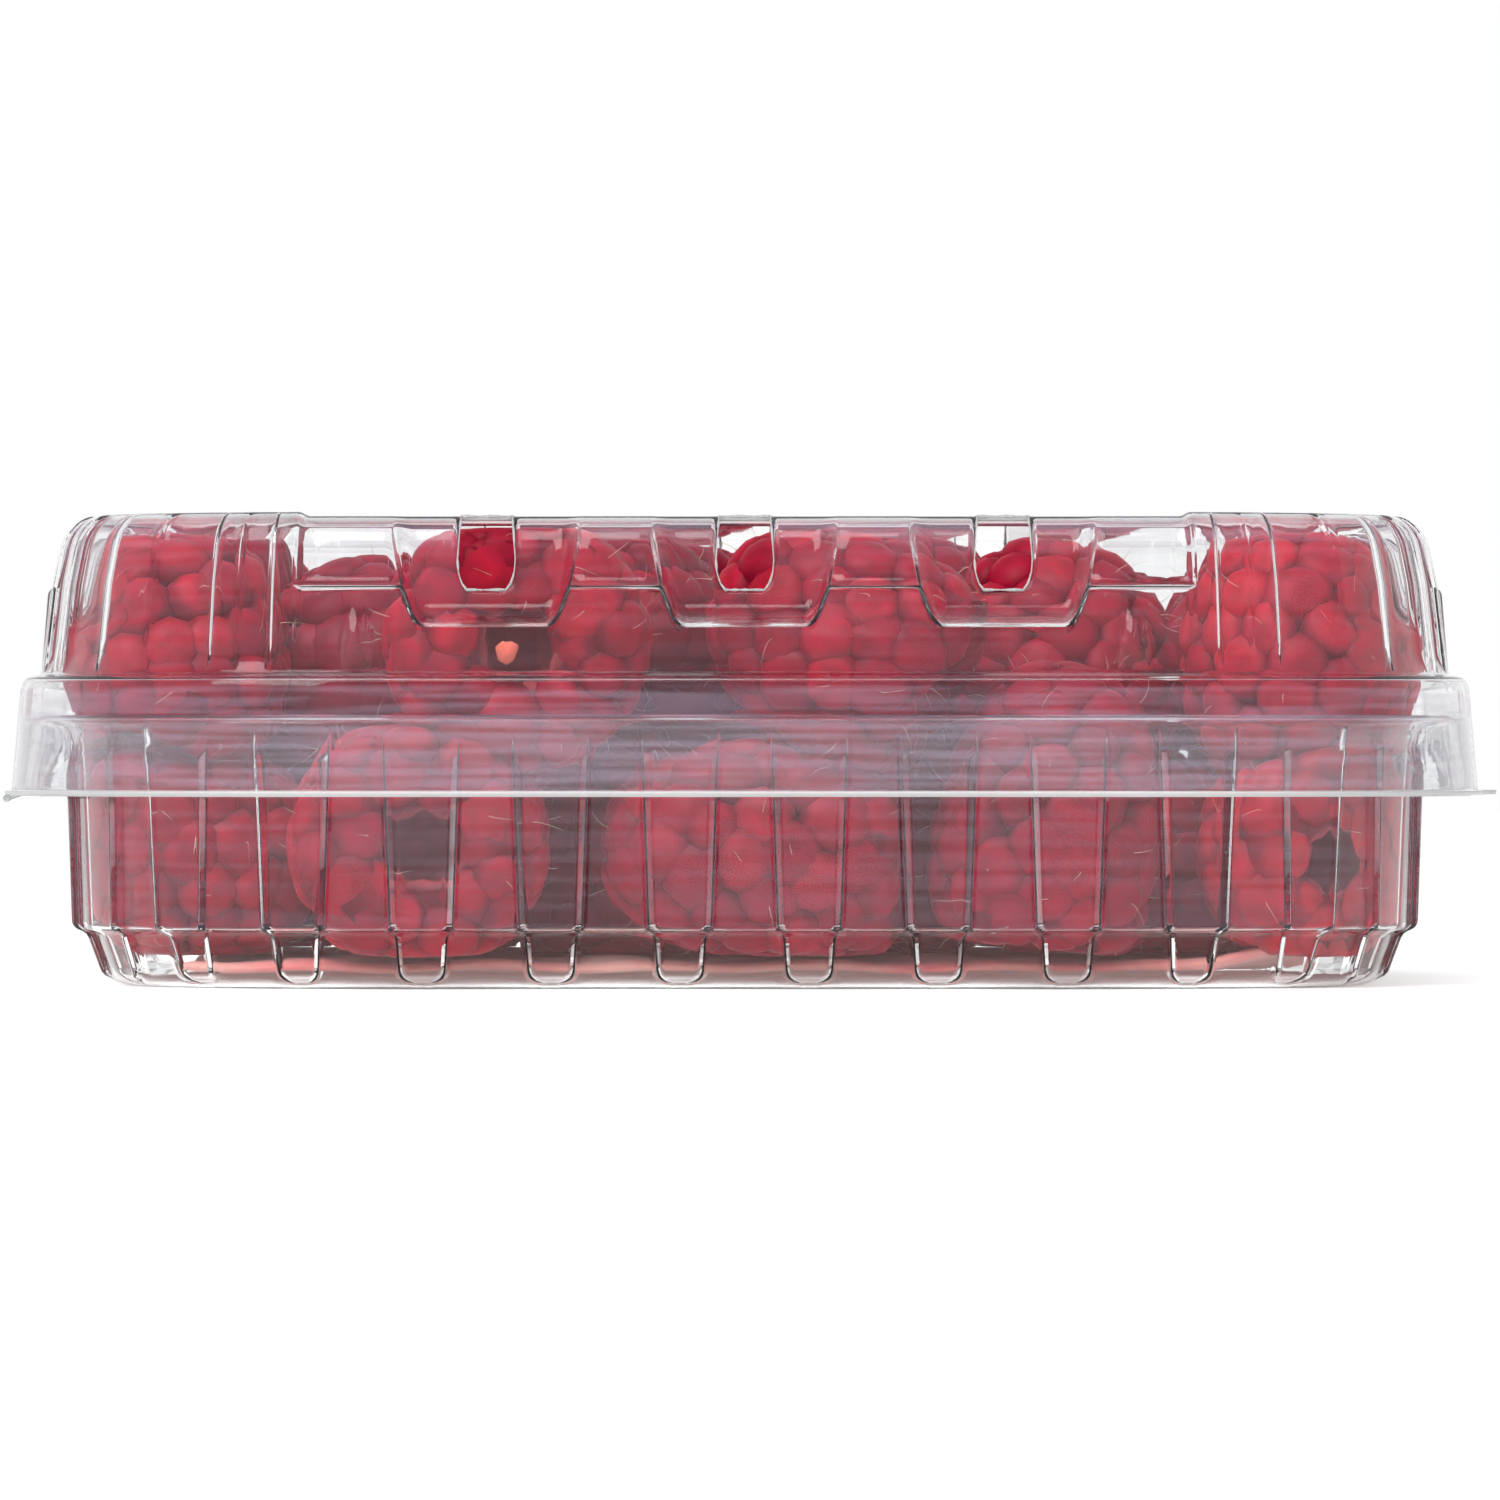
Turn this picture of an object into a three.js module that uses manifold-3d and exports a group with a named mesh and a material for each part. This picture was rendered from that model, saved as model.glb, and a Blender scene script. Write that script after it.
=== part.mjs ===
// A shut clear-plastic clamshell punnet of raspberries, in millimetres, +Z up.
// +X runs along the length, towards the lift tab, and -Y is the front long side.
// The origin is the middle of the flat underside.
import * as THREE from "three";
import { mergeVertices } from "three/addons/utils/BufferGeometryUtils.js";
import Module from "manifold-3d";

const wasm = await Module();
wasm.setup();

// Plan of the pack: every level is a rectangle of corner centres grown by a radius.
const cornerX = 34.6;
const cornerY = 26;
const wallRadius = 24; // the tub wall's corner radius, along which the plan is measured
const cornerArc = (Math.PI / 2) * wallRadius;
const quarter = cornerX + cornerArc + cornerY;
const perimeter = 4 * quarter;
const tightRadius = 17; // corner radius below which half the points are enough

const sheet = 0.5; // wall of the formed sheet
const gap = 0.35; // between a formed wall and what lies inside it

// Flutes of the tub
const fluteCount = 36;
const flutePitch = perimeter / fluteCount;
const fluteDepth = 0.6;
const fluteRise = 0.45; // width of a flute's sloping side

// Vent pockets, corner lugs and corner channels of the lid
const pocketRise = 0.6; // width of a pocket's side wall
const pocketPitch = 2 * flutePitch;
const longSidePockets = [-pocketPitch, 0, pocketPitch];
const shortSidePockets = [-flutePitch, flutePitch];
const lugStart = cornerX + 3;
const lugRise = 0.8;
const channelDepth = 0.5;
const channelRise = 0.5;
const channels = [
  { angle: 15.5, half: 1.25 },
  { angle: 31.2, half: 2.75 },
  { angle: 58.8, half: 2.75 },
  { angle: 74.5, half: 1.25 },
];

const ventHalf = 2.3;
const ventFoot = 33.3;
const ventReach = 9; // how far a slot runs in over the top

const hingeX = -63.95;
const hingeHalf = 30;
const lipFoot = 15.5; // underside of the tub's lip, where the two halves part
const tabReach = 66;
const tabHalf = 13;

const coreRadius = 6;
const coreFoot = 6;
const coreTop = 23;

const padLength = 96;
const padWidth = 78;
const padThickness = 1;
const padFoot = 0.95;
const padWave = 0.35;

const clamp01 = (x) => Math.min(1, Math.max(0, x));
const bump = (distance, half, rise) => clamp01((half - distance) / rise + 0.5);

// The point at a place along the plan, counted anticlockwise from the front's middle.
function planPoint(place, radius) {
  let s = ((place % perimeter) + perimeter) % perimeter;
  const left = s > 2 * quarter;
  if (left) s = perimeter - s;
  const back = s > quarter;
  if (back) s = 2 * quarter - s;
  let x = Math.min(s, cornerX);
  let y = -cornerY;
  if (s <= cornerX) {
    y -= radius;
  } else if (s < cornerX + cornerArc) {
    const turn = (s - cornerX) / wallRadius;
    x += radius * Math.sin(turn);
    y -= radius * Math.cos(turn);
  } else {
    x += radius;
    y += s - cornerX - cornerArc;
  }
  return [left ? -x : x, back ? -y : y];
}

// Folds a place on the plan into the first quarter, from the front's middle to the right's.
function folded(place) {
  let s = ((place % perimeter) + perimeter) % perimeter;
  if (s > 2 * quarter) s = perimeter - s;
  return s > quarter ? 2 * quarter - s : s;
}

// Nearness of a place to the middle of the nearest flute.
function fluteDistance(place) {
  const within = ((place % flutePitch) + flutePitch) % flutePitch;
  return Math.min(within, flutePitch - within);
}

// Each level of the tub's outer face: radius, height, the way to its inner face, flute half width.
const tubLevels = [
  { r: 16.8, z: 0, dr: 0, dz: 1 },
  { r: 19.8, z: 0.9, dr: -0.45, dz: 0.89 },
  { r: 21.7, z: 2.7, dr: -0.9, dz: 0.43, flute: 3.4 },
  { r: 22.4, z: 4.5, dr: -1, dz: 0.8, flute: 3.1 },
  { r: 23.6, z: 5, dr: -0.95, dz: 0.8, flute: 2.6 },
  { r: 24.2, z: 22, dr: -1, dz: 0.2, flute: 1.9 },
  { r: 24.9, z: 22.9, dr: -0.6, dz: 0.9 },
  { r: 26.5, z: 22.9, dr: 0.75, dz: 1 },
  { r: 27.4, z: lipFoot, dr: 0.9, dz: 0.95 },
  { r: 28.5, z: lipFoot, dr: 0, dz: 1 },
];

// Each level of the lid's outer face, for the wall between pockets, in a pocket and on a lug,
// with the pocket's half width there. A level without a half width is plain all round.
const lidLevels = [
  { wall: [14, 39.6], dr: 0, dz: -1 },
  { wall: [15, 40.1], dr: 0, dz: -1 },
  { wall: [21.9, 40.1], pocket: [19.9, 40.1], lug: [22.6, 40.5], half: 6.9, dr: -0.4, dz: -0.9 },
  { wall: [23.6, 38.6], pocket: [21.6, 38.2], lug: [24.6, 39], half: 6.8, dr: -0.9, dz: -0.4 },
  { wall: [24.6, 34.5], pocket: [22.9, 31.4], lug: [25.3, 34.5], half: 6, dr: -1, dz: -1 },
  { wall: [25.6, 34.1], pocket: [25.85, 31], lug: [25.35, 34.1], half: 5.9, dr: -1, dz: -1 },
  { wall: [26.2, 27], pocket: [26.2, 27], lug: [26.2, 27], half: 5.9, dr: -0.8, dz: -1 },
  { wall: [27.1, 26.6], dr: -0.3, dz: -1 },
  { wall: [28, 25.6], dr: -0.9, dz: -0.5 },
  { wall: [28.75, lipFoot + 1.3], dr: -0.9, dz: -1 },
  { wall: [29.3, lipFoot + 1.3], dr: 0, dz: -1 },
];
const wallFoot = lidLevels[6]; // where the dome meets its flange, below the corner channels

// Evenly spaced places: two to a flute, or one where the corners are tight.
function plainPlaces(radius) {
  const count = radius < tightRadius ? fluteCount : 2 * fluteCount;
  return Array.from({ length: count }, (_, i) => (i * perimeter) / count);
}

function flutePlaces(half) {
  const steps = [-half - fluteRise / 2, -half + fluteRise / 2, half - fluteRise / 2, half + fluteRise / 2];
  return Array.from({ length: fluteCount }, (_, i) => steps.map((d) => i * flutePitch + d)).flat();
}

function tubRing(level, inset) {
  const places = level.flute ? flutePlaces(level.flute) : plainPlaces(level.r);
  return places.map((s) => {
    const sunk = level.flute ? fluteDepth * bump(fluteDistance(s), level.flute, fluteRise) : 0;
    const [x, y] = planPoint(s, level.r + inset * level.dr - sunk);
    return { s, p: [x, y, level.z + inset * level.dz] };
  });
}

// How much of a pocket, a lug or a channel a place has.
function pocketShare(place, half) {
  const s = folded(place);
  const middles = [0, pocketPitch, quarter - flutePitch];
  return Math.max(...middles.map((m) => bump(Math.abs(s - m), half, pocketRise)));
}

function lugShare(place) {
  const fromCorner = Math.abs(folded(place) - cornerX - cornerArc / 2);
  return bump(fromCorner, cornerX + cornerArc / 2 - lugStart, lugRise);
}

const channelMiddle = (channel) => cornerX + THREE.MathUtils.degToRad(channel.angle) * wallRadius;

function channelShare(place) {
  const s = folded(place);
  return Math.max(...channels.map((c) => bump(Math.abs(s - channelMiddle(c)), c.half, channelRise)));
}

// The places where the two sloping sides of a pocket or a channel start and end.
function sideEdges(middle, half, rise) {
  return [-half - rise / 2, -half + rise / 2, half - rise / 2, half + rise / 2].map((d) => middle + d);
}

function formedPlaces(half) {
  const lugEnd = 2 * cornerX + cornerArc - lugStart;
  const first = [
    ...sideEdges(0, half, pocketRise).slice(2),
    ...sideEdges(pocketPitch, half, pocketRise),
    ...[lugStart - lugRise / 2, lugStart + lugRise / 2],
    ...channels.flatMap((c) => sideEdges(channelMiddle(c), c.half, channelRise)),
    ...[lugEnd - lugRise / 2, lugEnd + lugRise / 2],
    ...sideEdges(quarter - flutePitch, half, pocketRise),
  ];
  const around = [0, ...first, quarter, ...first.map((s) => 2 * quarter - s).reverse()];
  return [...around, ...around.map((s) => s + 2 * quarter)];
}

// A ring of the lid, moved inwards by a depth; a deeper face has wider pockets.
function lidRing(level, depth) {
  if (!level.half) {
    const [r, z] = level.wall;
    return plainPlaces(r).map((s) => lidPoint(s, r, z, level, depth));
  }
  const half = level.half + Math.min(depth, sheet);
  return formedPlaces(half).map((s) => {
    const pocket = pocketShare(s, half);
    const lug = lugShare(s);
    let [r, z] = level.wall.map(
      (wall, i) => wall + pocket * (level.pocket[i] - wall) + lug * (level.lug[i] - wall),
    );
    if (level !== wallFoot) r -= channelDepth * channelShare(s);
    return lidPoint(s, r, z, level, depth);
  });
}

function lidPoint(s, r, z, level, depth) {
  return { s, p: [...planPoint(s, r + depth * level.dr), z + depth * level.dz] };
}

const distance = (a, b) => Math.hypot(a[0] - b[0], a[1] - b[1], a[2] - b[2]);

// The strip between two rings of as many points, each quad split along its shorter diagonal.
function evenStrip(upper, lower) {
  return upper.flatMap((_, i) => {
    const next = (i + 1) % upper.length;
    const [a, b, c, d] = [upper[i].p, upper[next].p, lower[i].p, lower[next].p];
    return distance(b, c) < distance(a, d) ? [a, c, b, b, c, d] : [a, c, d, a, d, b];
  });
}

// The strip between two rings of unlike numbers of points, which steps along whichever lags.
function unevenStrip(upper, lower) {
  const triangles = [];
  const at = (ring, n) => ring[n % ring.length].p;
  const place = (ring, n) => ring[n % ring.length].s + perimeter * Math.floor(n / ring.length);
  let [i, j] = [0, 0];
  while (i < upper.length || j < lower.length) {
    const upperNear = Math.abs(place(upper, i + 1) - place(lower, j));
    const lowerNear = Math.abs(place(lower, j + 1) - place(upper, i));
    if (j >= lower.length || (i < upper.length && upperNear < lowerNear)) {
      triangles.push(at(upper, i), at(lower, j), at(upper, i + 1));
      i++;
    } else {
      triangles.push(at(upper, i), at(lower, j), at(lower, j + 1));
      j++;
    }
  }
  return triangles;
}

// Joins rings of points one after another, closed at both ends by a point on the axis.
function skin(startZ, rings, endZ) {
  const triangles = [];
  const start = [0, 0, startZ];
  const end = [0, 0, endZ];
  rings[0].forEach((a, i) => triangles.push(start, a.p, rings[0][(i + 1) % rings[0].length].p));
  for (let k = 0; k + 1 < rings.length; k++) {
    const strip = rings[k].length === rings[k + 1].length ? evenStrip : unevenStrip;
    triangles.push(...strip(rings[k], rings[k + 1]));
  }
  const last = rings[rings.length - 1];
  last.forEach((a, i) => triangles.push(a.p, end, last[(i + 1) % last.length].p));
  const geometry = new THREE.BufferGeometry();
  geometry.setAttribute("position", new THREE.Float32BufferAttribute(triangles.flat(), 3));
  return geometry;
}

function toSolid(geometry) {
  const bare = geometry.index ? geometry.toNonIndexed() : geometry.clone();
  bare.deleteAttribute("normal");
  bare.deleteAttribute("uv");
  const merged = mergeVertices(bare, 1e-3);
  const kept = [];
  const index = merged.index.array;
  for (let i = 0; i < index.length; i += 3) {
    const [a, b, c] = index.subarray(i, i + 3);
    if (a !== b && b !== c && c !== a) kept.push(a, b, c);
  }
  return new wasm.Manifold(
    new wasm.Mesh({
      numProp: 3,
      vertProperties: new Float32Array(merged.attributes.position.array),
      triVerts: new Uint32Array(kept),
    }),
  );
}

function toGeometry(solid) {
  const { vertProperties, triVerts, numProp } = solid.getMesh();
  const position = new Float32Array((vertProperties.length / numProp) * 3);
  for (let i = 0; i * numProp < vertProperties.length; i++) {
    position.set(vertProperties.subarray(i * numProp, i * numProp + 3), i * 3);
  }
  const geometry = new THREE.BufferGeometry();
  geometry.setAttribute("position", new THREE.BufferAttribute(position, 3));
  geometry.setIndex(new THREE.BufferAttribute(new Uint32Array(triVerts), 1));
  return geometry;
}

// The biggest single body of a solid, without any hollow that fusing sealed inside it.
function biggestBody(solid) {
  return solid.decompose().reduce((a, b) => (b.volume() > a.volume() ? b : a));
}

function box(minX, maxX, halfY, minZ, maxZ) {
  const geometry = new THREE.BoxGeometry(maxX - minX, 2 * halfY, maxZ - minZ);
  geometry.translate((minX + maxX) / 2, 0, (minZ + maxZ) / 2);
  return toSolid(geometry);
}

// The tub: fluted wall over an inset ribbed foot, a rim, and a skirt down to the parting lip.
function makeTub() {
  const inner = tubLevels.map((level) => tubRing(level, sheet));
  const outer = tubLevels.map((level) => tubRing(level, 0)).reverse();
  const shell = toSolid(skin(sheet, [...inner, ...outer], 0));
  const hinge = box(hingeX + 0.05, hingeX + 1.2, hingeHalf, lipFoot, lipFoot + sheet);
  return shell.add(hinge);
}

// A vent slot's outline, bellied at two thirds of its height and narrower at its foot.
function ventCutter(along, side) {
  const outline = new THREE.Shape();
  outline.moveTo(-ventHalf + 0.7, ventFoot);
  outline.lineTo(ventHalf - 0.7, ventFoot);
  outline.lineTo(ventHalf, ventFoot + 1.9);
  outline.lineTo(ventHalf + 0.15, ventFoot + 3);
  outline.lineTo(ventHalf - 0.1, ventFoot + 9);
  outline.lineTo(-ventHalf + 0.1, ventFoot + 9);
  outline.lineTo(-ventHalf - 0.15, ventFoot + 3);
  outline.lineTo(-ventHalf, ventFoot + 1.9);
  const geometry = new THREE.ExtrudeGeometry(outline, { depth: ventReach, bevelEnabled: false });
  geometry.rotateX(Math.PI / 2);
  const reach = cornerY + wallRadius + 3;
  geometry.translate(along, -reach + ventReach, 0);
  if (side === "right") geometry.rotateZ(Math.PI / 2).translate(cornerX - cornerY, 0, 0);
  if (side === "left") geometry.rotateZ(-Math.PI / 2).translate(cornerY - cornerX, 0, 0);
  if (side === "back") geometry.rotateZ(Math.PI);
  return toSolid(geometry);
}

// The lift tab: a round-cornered tongue on the right end of the lid's lip.
function liftTab(minZ) {
  const round = 2;
  const start = cornerX + 28.6;
  const outline = new THREE.Shape();
  outline.moveTo(start, -tabHalf - 1);
  outline.lineTo(tabReach - round, -tabHalf);
  outline.absarc(tabReach - round, -tabHalf + round, round, -Math.PI / 2, 0, false);
  outline.absarc(tabReach - round, tabHalf - round, round, 0, Math.PI / 2, false);
  outline.lineTo(start, tabHalf + 1);
  const geometry = new THREE.ExtrudeGeometry(outline, { depth: sheet, bevelEnabled: false, curveSegments: 4 });
  geometry.translate(0, 0, minZ);
  return toSolid(geometry);
}

// The lid: a dome with vent pockets, corner lugs, a flange and a skirt down to its lip.
function makeLid() {
  const outer = lidLevels.map((level) => lidRing(level, 0));
  const inner = lidLevels.map((level) => lidRing(level, sheet)).reverse();
  const topZ = lidLevels[0].wall[1];
  let lid = toSolid(skin(topZ, [...outer, ...inner], topZ - sheet)).add(liftTab(lipFoot + 0.8));
  for (const along of longSidePockets) {
    lid = lid.subtract(ventCutter(along, "front")).subtract(ventCutter(along, "back"));
  }
  for (const along of shortSidePockets) {
    lid = lid.subtract(ventCutter(along, "right")).subtract(ventCutter(along, "left"));
  }
  return biggestBody(lid);
}

// The room inside the shut pack, clear of the sheet and the flutes, which the fruit fills.
function makeRoom() {
  const inset = sheet + gap;
  const lidPart = lidLevels.slice(0, 7).map((level) => lidRing(level, inset));
  const tubPart = tubLevels.slice(2, 7).map((level) => {
    const r = level.r + inset * level.dr - (level.flute ? fluteDepth : 0);
    return plainPlaces(r).map((s) => ({ s, p: [...planPoint(s, r), level.z + inset * level.dz] }));
  });
  const topZ = lidLevels[0].wall[1] - inset;
  const floorZ = padFoot + padThickness + padWave + gap;
  const inside = toSolid(skin(topZ, [...lidPart, ...tubPart.reverse()], floorZ));
  return inside.intersect(box(hingeX, -hingeX, -hingeX, floorZ, topZ + 2));
}

// The absorbent pad: a thin slab with slow waves.
function makePad() {
  const geometry = new THREE.BoxGeometry(padLength, padWidth, padThickness, 10, 6, 1);
  const position = geometry.attributes.position;
  for (let i = 0; i < position.count; i++) {
    const wave = padWave * Math.abs(Math.sin(position.getX(i) / 9) * Math.cos(position.getY(i) / 14));
    position.setZ(i, position.getZ(i) + padFoot + padThickness / 2 + wave);
  }
  return toSolid(geometry);
}

// The front raspberries, each with its middle, the way its tip points in degrees, and its size.
const frontBerries = [
  { x: -47.2, y: -30.5, z: 11.6, heading: 215, pitch: 15, radius: 9.6, length: 20 },
  { x: -28.2, y: -37, z: 12.6, heading: 98, pitch: 4, radius: 10.7, length: 19 },
  { x: 0.3, y: -37.6, z: 11.6, heading: 185, pitch: 3, radius: 9.6, length: 24.5 },
  { x: 26.2, y: -37.8, z: 15.6, heading: 20, pitch: 80, radius: 9.4, length: 24 },
  { x: 46.9, y: -32, z: 11.9, heading: 105, pitch: 8, radius: 10, length: 20 },
  { x: -48, y: -29, z: 29.2, heading: 60, pitch: 62, radius: 10.6, length: 21 },
  { x: -19.8, y: -37, z: 29.4, heading: 97, pitch: 8, radius: 10.5, length: 18.5 },
  { x: 7.4, y: -37, z: 29.3, heading: 165, pitch: 30, radius: 10, length: 21 },
  { x: 45.8, y: -31, z: 29.2, heading: 140, pitch: 70, radius: 10.2, length: 21 },
];

// The middles of the others. Those of the lower layer that nothing shows are left to the core.
const lowerZ = 12.2;
const upperZ = 28.7;
const heapRows = [
  { z: lowerZ, middles: [[-47, -11], [-47, 9.5], [47, -12], [47, 9]] },
  { z: lowerZ, middles: [[-45.5, 30], [-27, 36.5], [-7.5, 37], [11.5, 37], [29.5, 36.5], [46, 30]] },
  { z: upperZ, middles: [[-47.5, -9.5], [-33, -18.5], [-12.5, -17], [8, -17], [28.5, -20], [47, -11]] },
  { z: upperZ, middles: [[-47.5, 10.5], [-29.5, 0.5], [-10, 2.5], [9.5, 1.5], [28, -0.5], [47, 9]] },
  { z: upperZ, middles: [[-46, 30], [-30, 19.5], [-11, 21.5], [8.5, 20.5], [27.5, 18.5], [46, 29]] },
  { z: upperZ, middles: [[-27, 37], [-6, 37.5], [13.5, 37], [31.5, 36.5]] },
];

// A repeatable draw from -1 to 1.
function draw(n) {
  const wild = Math.sin(n * 12.9898 + 4.137) * 43758.5453;
  return 2 * (wild - Math.floor(wild)) - 1;
}

function heapBerries() {
  const placed = heapRows.flatMap(({ z, middles }) => middles.map(([x, y]) => ({ x, y, z })));
  return placed.map(({ x, y, z }, i) => ({
    x,
    y,
    z: z + 0.5 * draw(7 * i),
    heading: 180 * draw(7 * i + 1),
    pitch: 35 + 40 * draw(7 * i + 2),
    radius: 10 + 0.5 * draw(7 * i + 3),
    length: 20 + 1.5 * draw(7 * i + 4),
  }));
}

const berrySides = 7;
const drupeRelief = 0.04;

// One raspberry: a thimble with its hollow at the foot and its drupelets as low facets.
function makeBerry({ x, y, z, heading, pitch, radius, length }) {
  const profile = [
    [0, 0.5],
    [0.5, 0],
    [0.93, 0.18],
    [0.98, 0.5],
    [0.7, 0.86],
    [0, 1],
  ].map(([r, t]) => new THREE.Vector2(r * radius, (t - 0.5) * length));
  const geometry = new THREE.LatheGeometry(profile, berrySides);
  const position = geometry.attributes.position;
  for (let i = 0; i < position.count; i++) {
    const row = i % profile.length;
    const side = Math.floor(i / profile.length) % berrySides;
    if (row < 2) continue;
    const swell = 1 + drupeRelief * draw(row * berrySides + side);
    position.setX(i, position.getX(i) * swell);
    position.setZ(i, position.getZ(i) * swell);
  }
  geometry.rotateX(Math.PI / 2); // the lathe's own axis, +Y, becomes +Z
  geometry.rotateY(Math.PI / 2 - THREE.MathUtils.degToRad(pitch));
  geometry.rotateZ(THREE.MathUtils.degToRad(heading));
  geometry.translate(x, y, z);
  return toSolid(geometry);
}

// The heap: a plain core with the berries that show fused on, held inside the shut pack.
function makeHeap() {
  const places = Array.from({ length: 24 }, (_, i) => (i * perimeter) / 24);
  const outline = new THREE.Shape(places.map((s) => new THREE.Vector2(...planPoint(s, coreRadius))));
  const core = new THREE.ExtrudeGeometry(outline, { depth: coreTop - coreFoot, bevelEnabled: false });
  core.translate(0, 0, coreFoot);
  const fruitSolids = [...frontBerries, ...heapBerries()].map(makeBerry);
  const fused = wasm.Manifold.union([toSolid(core), ...fruitSolids]);
  return biggestBody(biggestBody(fused).intersect(makeRoom()));
}

const clearPlastic = () =>
  new THREE.MeshStandardMaterial({ color: 0xdfe6e6, roughness: 0.08, transparent: true, opacity: 0.3 });
const fruit = new THREE.MeshStandardMaterial({ color: 0xa3142c, roughness: 0.45 });
const padding = new THREE.MeshStandardMaterial({ color: 0xe06a68, roughness: 0.9 });

function named(name, solid, material) {
  const mesh = new THREE.Mesh(toGeometry(solid), material);
  mesh.name = name;
  return mesh;
}

const punnet = new THREE.Group();
punnet.name = "punnet_of_raspberries";
punnet.add(
  named("tub", makeTub(), clearPlastic()),
  named("lid", makeLid(), clearPlastic()),
  named("pad", makePad(), padding),
  named("raspberries", makeHeap(), fruit),
);

export default punnet;
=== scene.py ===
import math

import bpy
import numpy as np
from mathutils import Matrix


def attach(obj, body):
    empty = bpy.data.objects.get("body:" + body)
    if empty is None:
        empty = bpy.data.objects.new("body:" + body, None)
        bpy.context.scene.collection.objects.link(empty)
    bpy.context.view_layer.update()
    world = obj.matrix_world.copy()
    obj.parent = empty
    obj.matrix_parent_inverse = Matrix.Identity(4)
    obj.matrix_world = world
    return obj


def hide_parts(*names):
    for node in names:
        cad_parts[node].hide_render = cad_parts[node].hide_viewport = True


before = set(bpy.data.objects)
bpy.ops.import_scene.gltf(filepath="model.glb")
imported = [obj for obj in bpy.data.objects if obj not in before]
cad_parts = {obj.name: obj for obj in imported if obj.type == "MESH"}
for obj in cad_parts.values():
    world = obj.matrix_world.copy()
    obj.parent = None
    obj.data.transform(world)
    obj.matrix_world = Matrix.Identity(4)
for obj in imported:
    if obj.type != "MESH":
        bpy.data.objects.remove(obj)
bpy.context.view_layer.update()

# A shut clear-plastic clamshell punnet of raspberries. Shapes are worked out in millimetres,
# +Z up, with -Y as the front, and become metres when they are put into a mesh.
mm = 0.001


# Helpers

def linearColour(hexText):
    # sRGB to linear light: c / 12.92 near black, ((c + 0.055) / 1.055) ^ 2.4 above it
    srgb = np.array([int(hexText[i:i + 2], 16) / 255 for i in (1, 3, 5)])
    linear = np.where(srgb <= 0.04045, srgb / 12.92, ((srgb + 0.055) / 1.055) ** 2.4)
    return (*linear.tolist(), 1.0)


def smoothStep(x):
    # 0 below 0, 1 above 1, and 3x^2 - 2x^3 between them
    x = np.clip(x, 0, 1)
    return x * x * (3 - 2 * x)


def addNode(tree, kind, settings=None, links=None):
    # settings are the node's own fields, or else values of its sockets; links feed its sockets
    node = tree.nodes.new(kind)
    for name, value in (settings or {}).items():
        if isinstance(name, str) and hasattr(node, name):
            setattr(node, name, value)
        else:
            node.inputs[name].default_value = value
    for name, socket in (links or {}).items():
        tree.links.new(socket, node.inputs[name])
    return node


def newMaterial(name):
    material = bpy.data.materials.new(name)
    material.use_nodes = True
    material.node_tree.nodes.clear()
    return material, material.node_tree


def setRamp(node, stops):
    # stops are pairs of place and hex colour, in rising order
    ramp = node.color_ramp
    while len(ramp.elements) < len(stops):
        ramp.elements.new(0.5)
    for element, (place, colour) in zip(ramp.elements, stops):
        element.position = place
        element.color = linearColour(colour)
    return node


def makeMesh(name, points, faceArrays, materials):
    # points in mm, one row each; faceArrays hold triangles or quads as rows of point numbers
    corners = np.concatenate([faces.ravel() for faces in faceArrays])
    totals = np.concatenate([np.full(len(faces), faces.shape[1]) for faces in faceArrays])
    starts = np.concatenate([[0], np.cumsum(totals)[:-1]])
    mesh = bpy.data.meshes.new(name)
    mesh.vertices.add(len(points))
    mesh.vertices.foreach_set("co", (points * mm).astype(np.float32).ravel())
    mesh.loops.add(len(corners))
    mesh.loops.foreach_set("vertex_index", corners.astype(np.int32))
    mesh.polygons.add(len(totals))
    mesh.polygons.foreach_set("loop_start", starts.astype(np.int32))
    mesh.update(calc_edges=True)
    mesh.validate()
    mesh.shade_smooth()
    for material in materials:
        mesh.materials.append(material)
    piece = bpy.data.objects.new(name, mesh)
    bpy.context.scene.collection.objects.link(piece)
    return piece


def paintPoints(piece, name, colours):
    # one linear RGBA colour for each point
    layer = piece.data.color_attributes.new(name, "FLOAT_COLOR", "POINT")
    layer.data.foreach_set("color", colours.astype(np.float32).ravel())


def ringFaces(rows, places):
    # quads between rows of closed rings, which face out where rows go up and places anticlockwise
    row, place = np.meshgrid(np.arange(rows - 1), np.arange(places), indexing="ij")
    here = row * places + place
    beside = row * places + (place + 1) % places
    return np.stack([here, beside, beside + places, here + places], axis=-1)


def poledPoints(grid):
    # the rows of a grid one after the other, its first and its last shrunk to a single point
    return np.concatenate([grid[0, :1], grid[1:-1].reshape(-1, 3), grid[-1, :1]])


def poledFaces(rings, places, firstOnTop=False):
    # quads between closed rings, with a fan of triangles to the point before the first ring and
    # another to the point after the last; the first ring is the lowest unless it is on top
    here = np.arange(places)
    beside = (here + 1) % places
    last = 1 + (rings - 1) * places
    quads = ringFaces(rings, places).reshape(-1, 4) + 1
    fan = np.stack([0 * here, 1 + beside, 1 + here], axis=1)
    endFan = np.stack([0 * here + last + places, last + here, last + beside], axis=1)
    groups = [quads, fan, endFan]
    return [group[:, ::-1] for group in groups] if firstOnTop else groups


def repeatedFaces(groups, copies, each):
    # the faces of one shape for all its copies, which have so many points each
    offsets = (np.arange(copies) * each)[:, None, None]
    return [(group[None] + offsets).reshape(-1, group.shape[1]) for group in groups]


# Camera, light and floor

view = {
    "standBack": 1000.0,  # mm from the middle of the pack
    "aside": 0.44,
    "eyeHeight": 20.3,  # level with half the pack's height
    "lens": 270.4,  # mm on a 36 mm sensor
    "sensor": 36.0,
}

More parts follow.
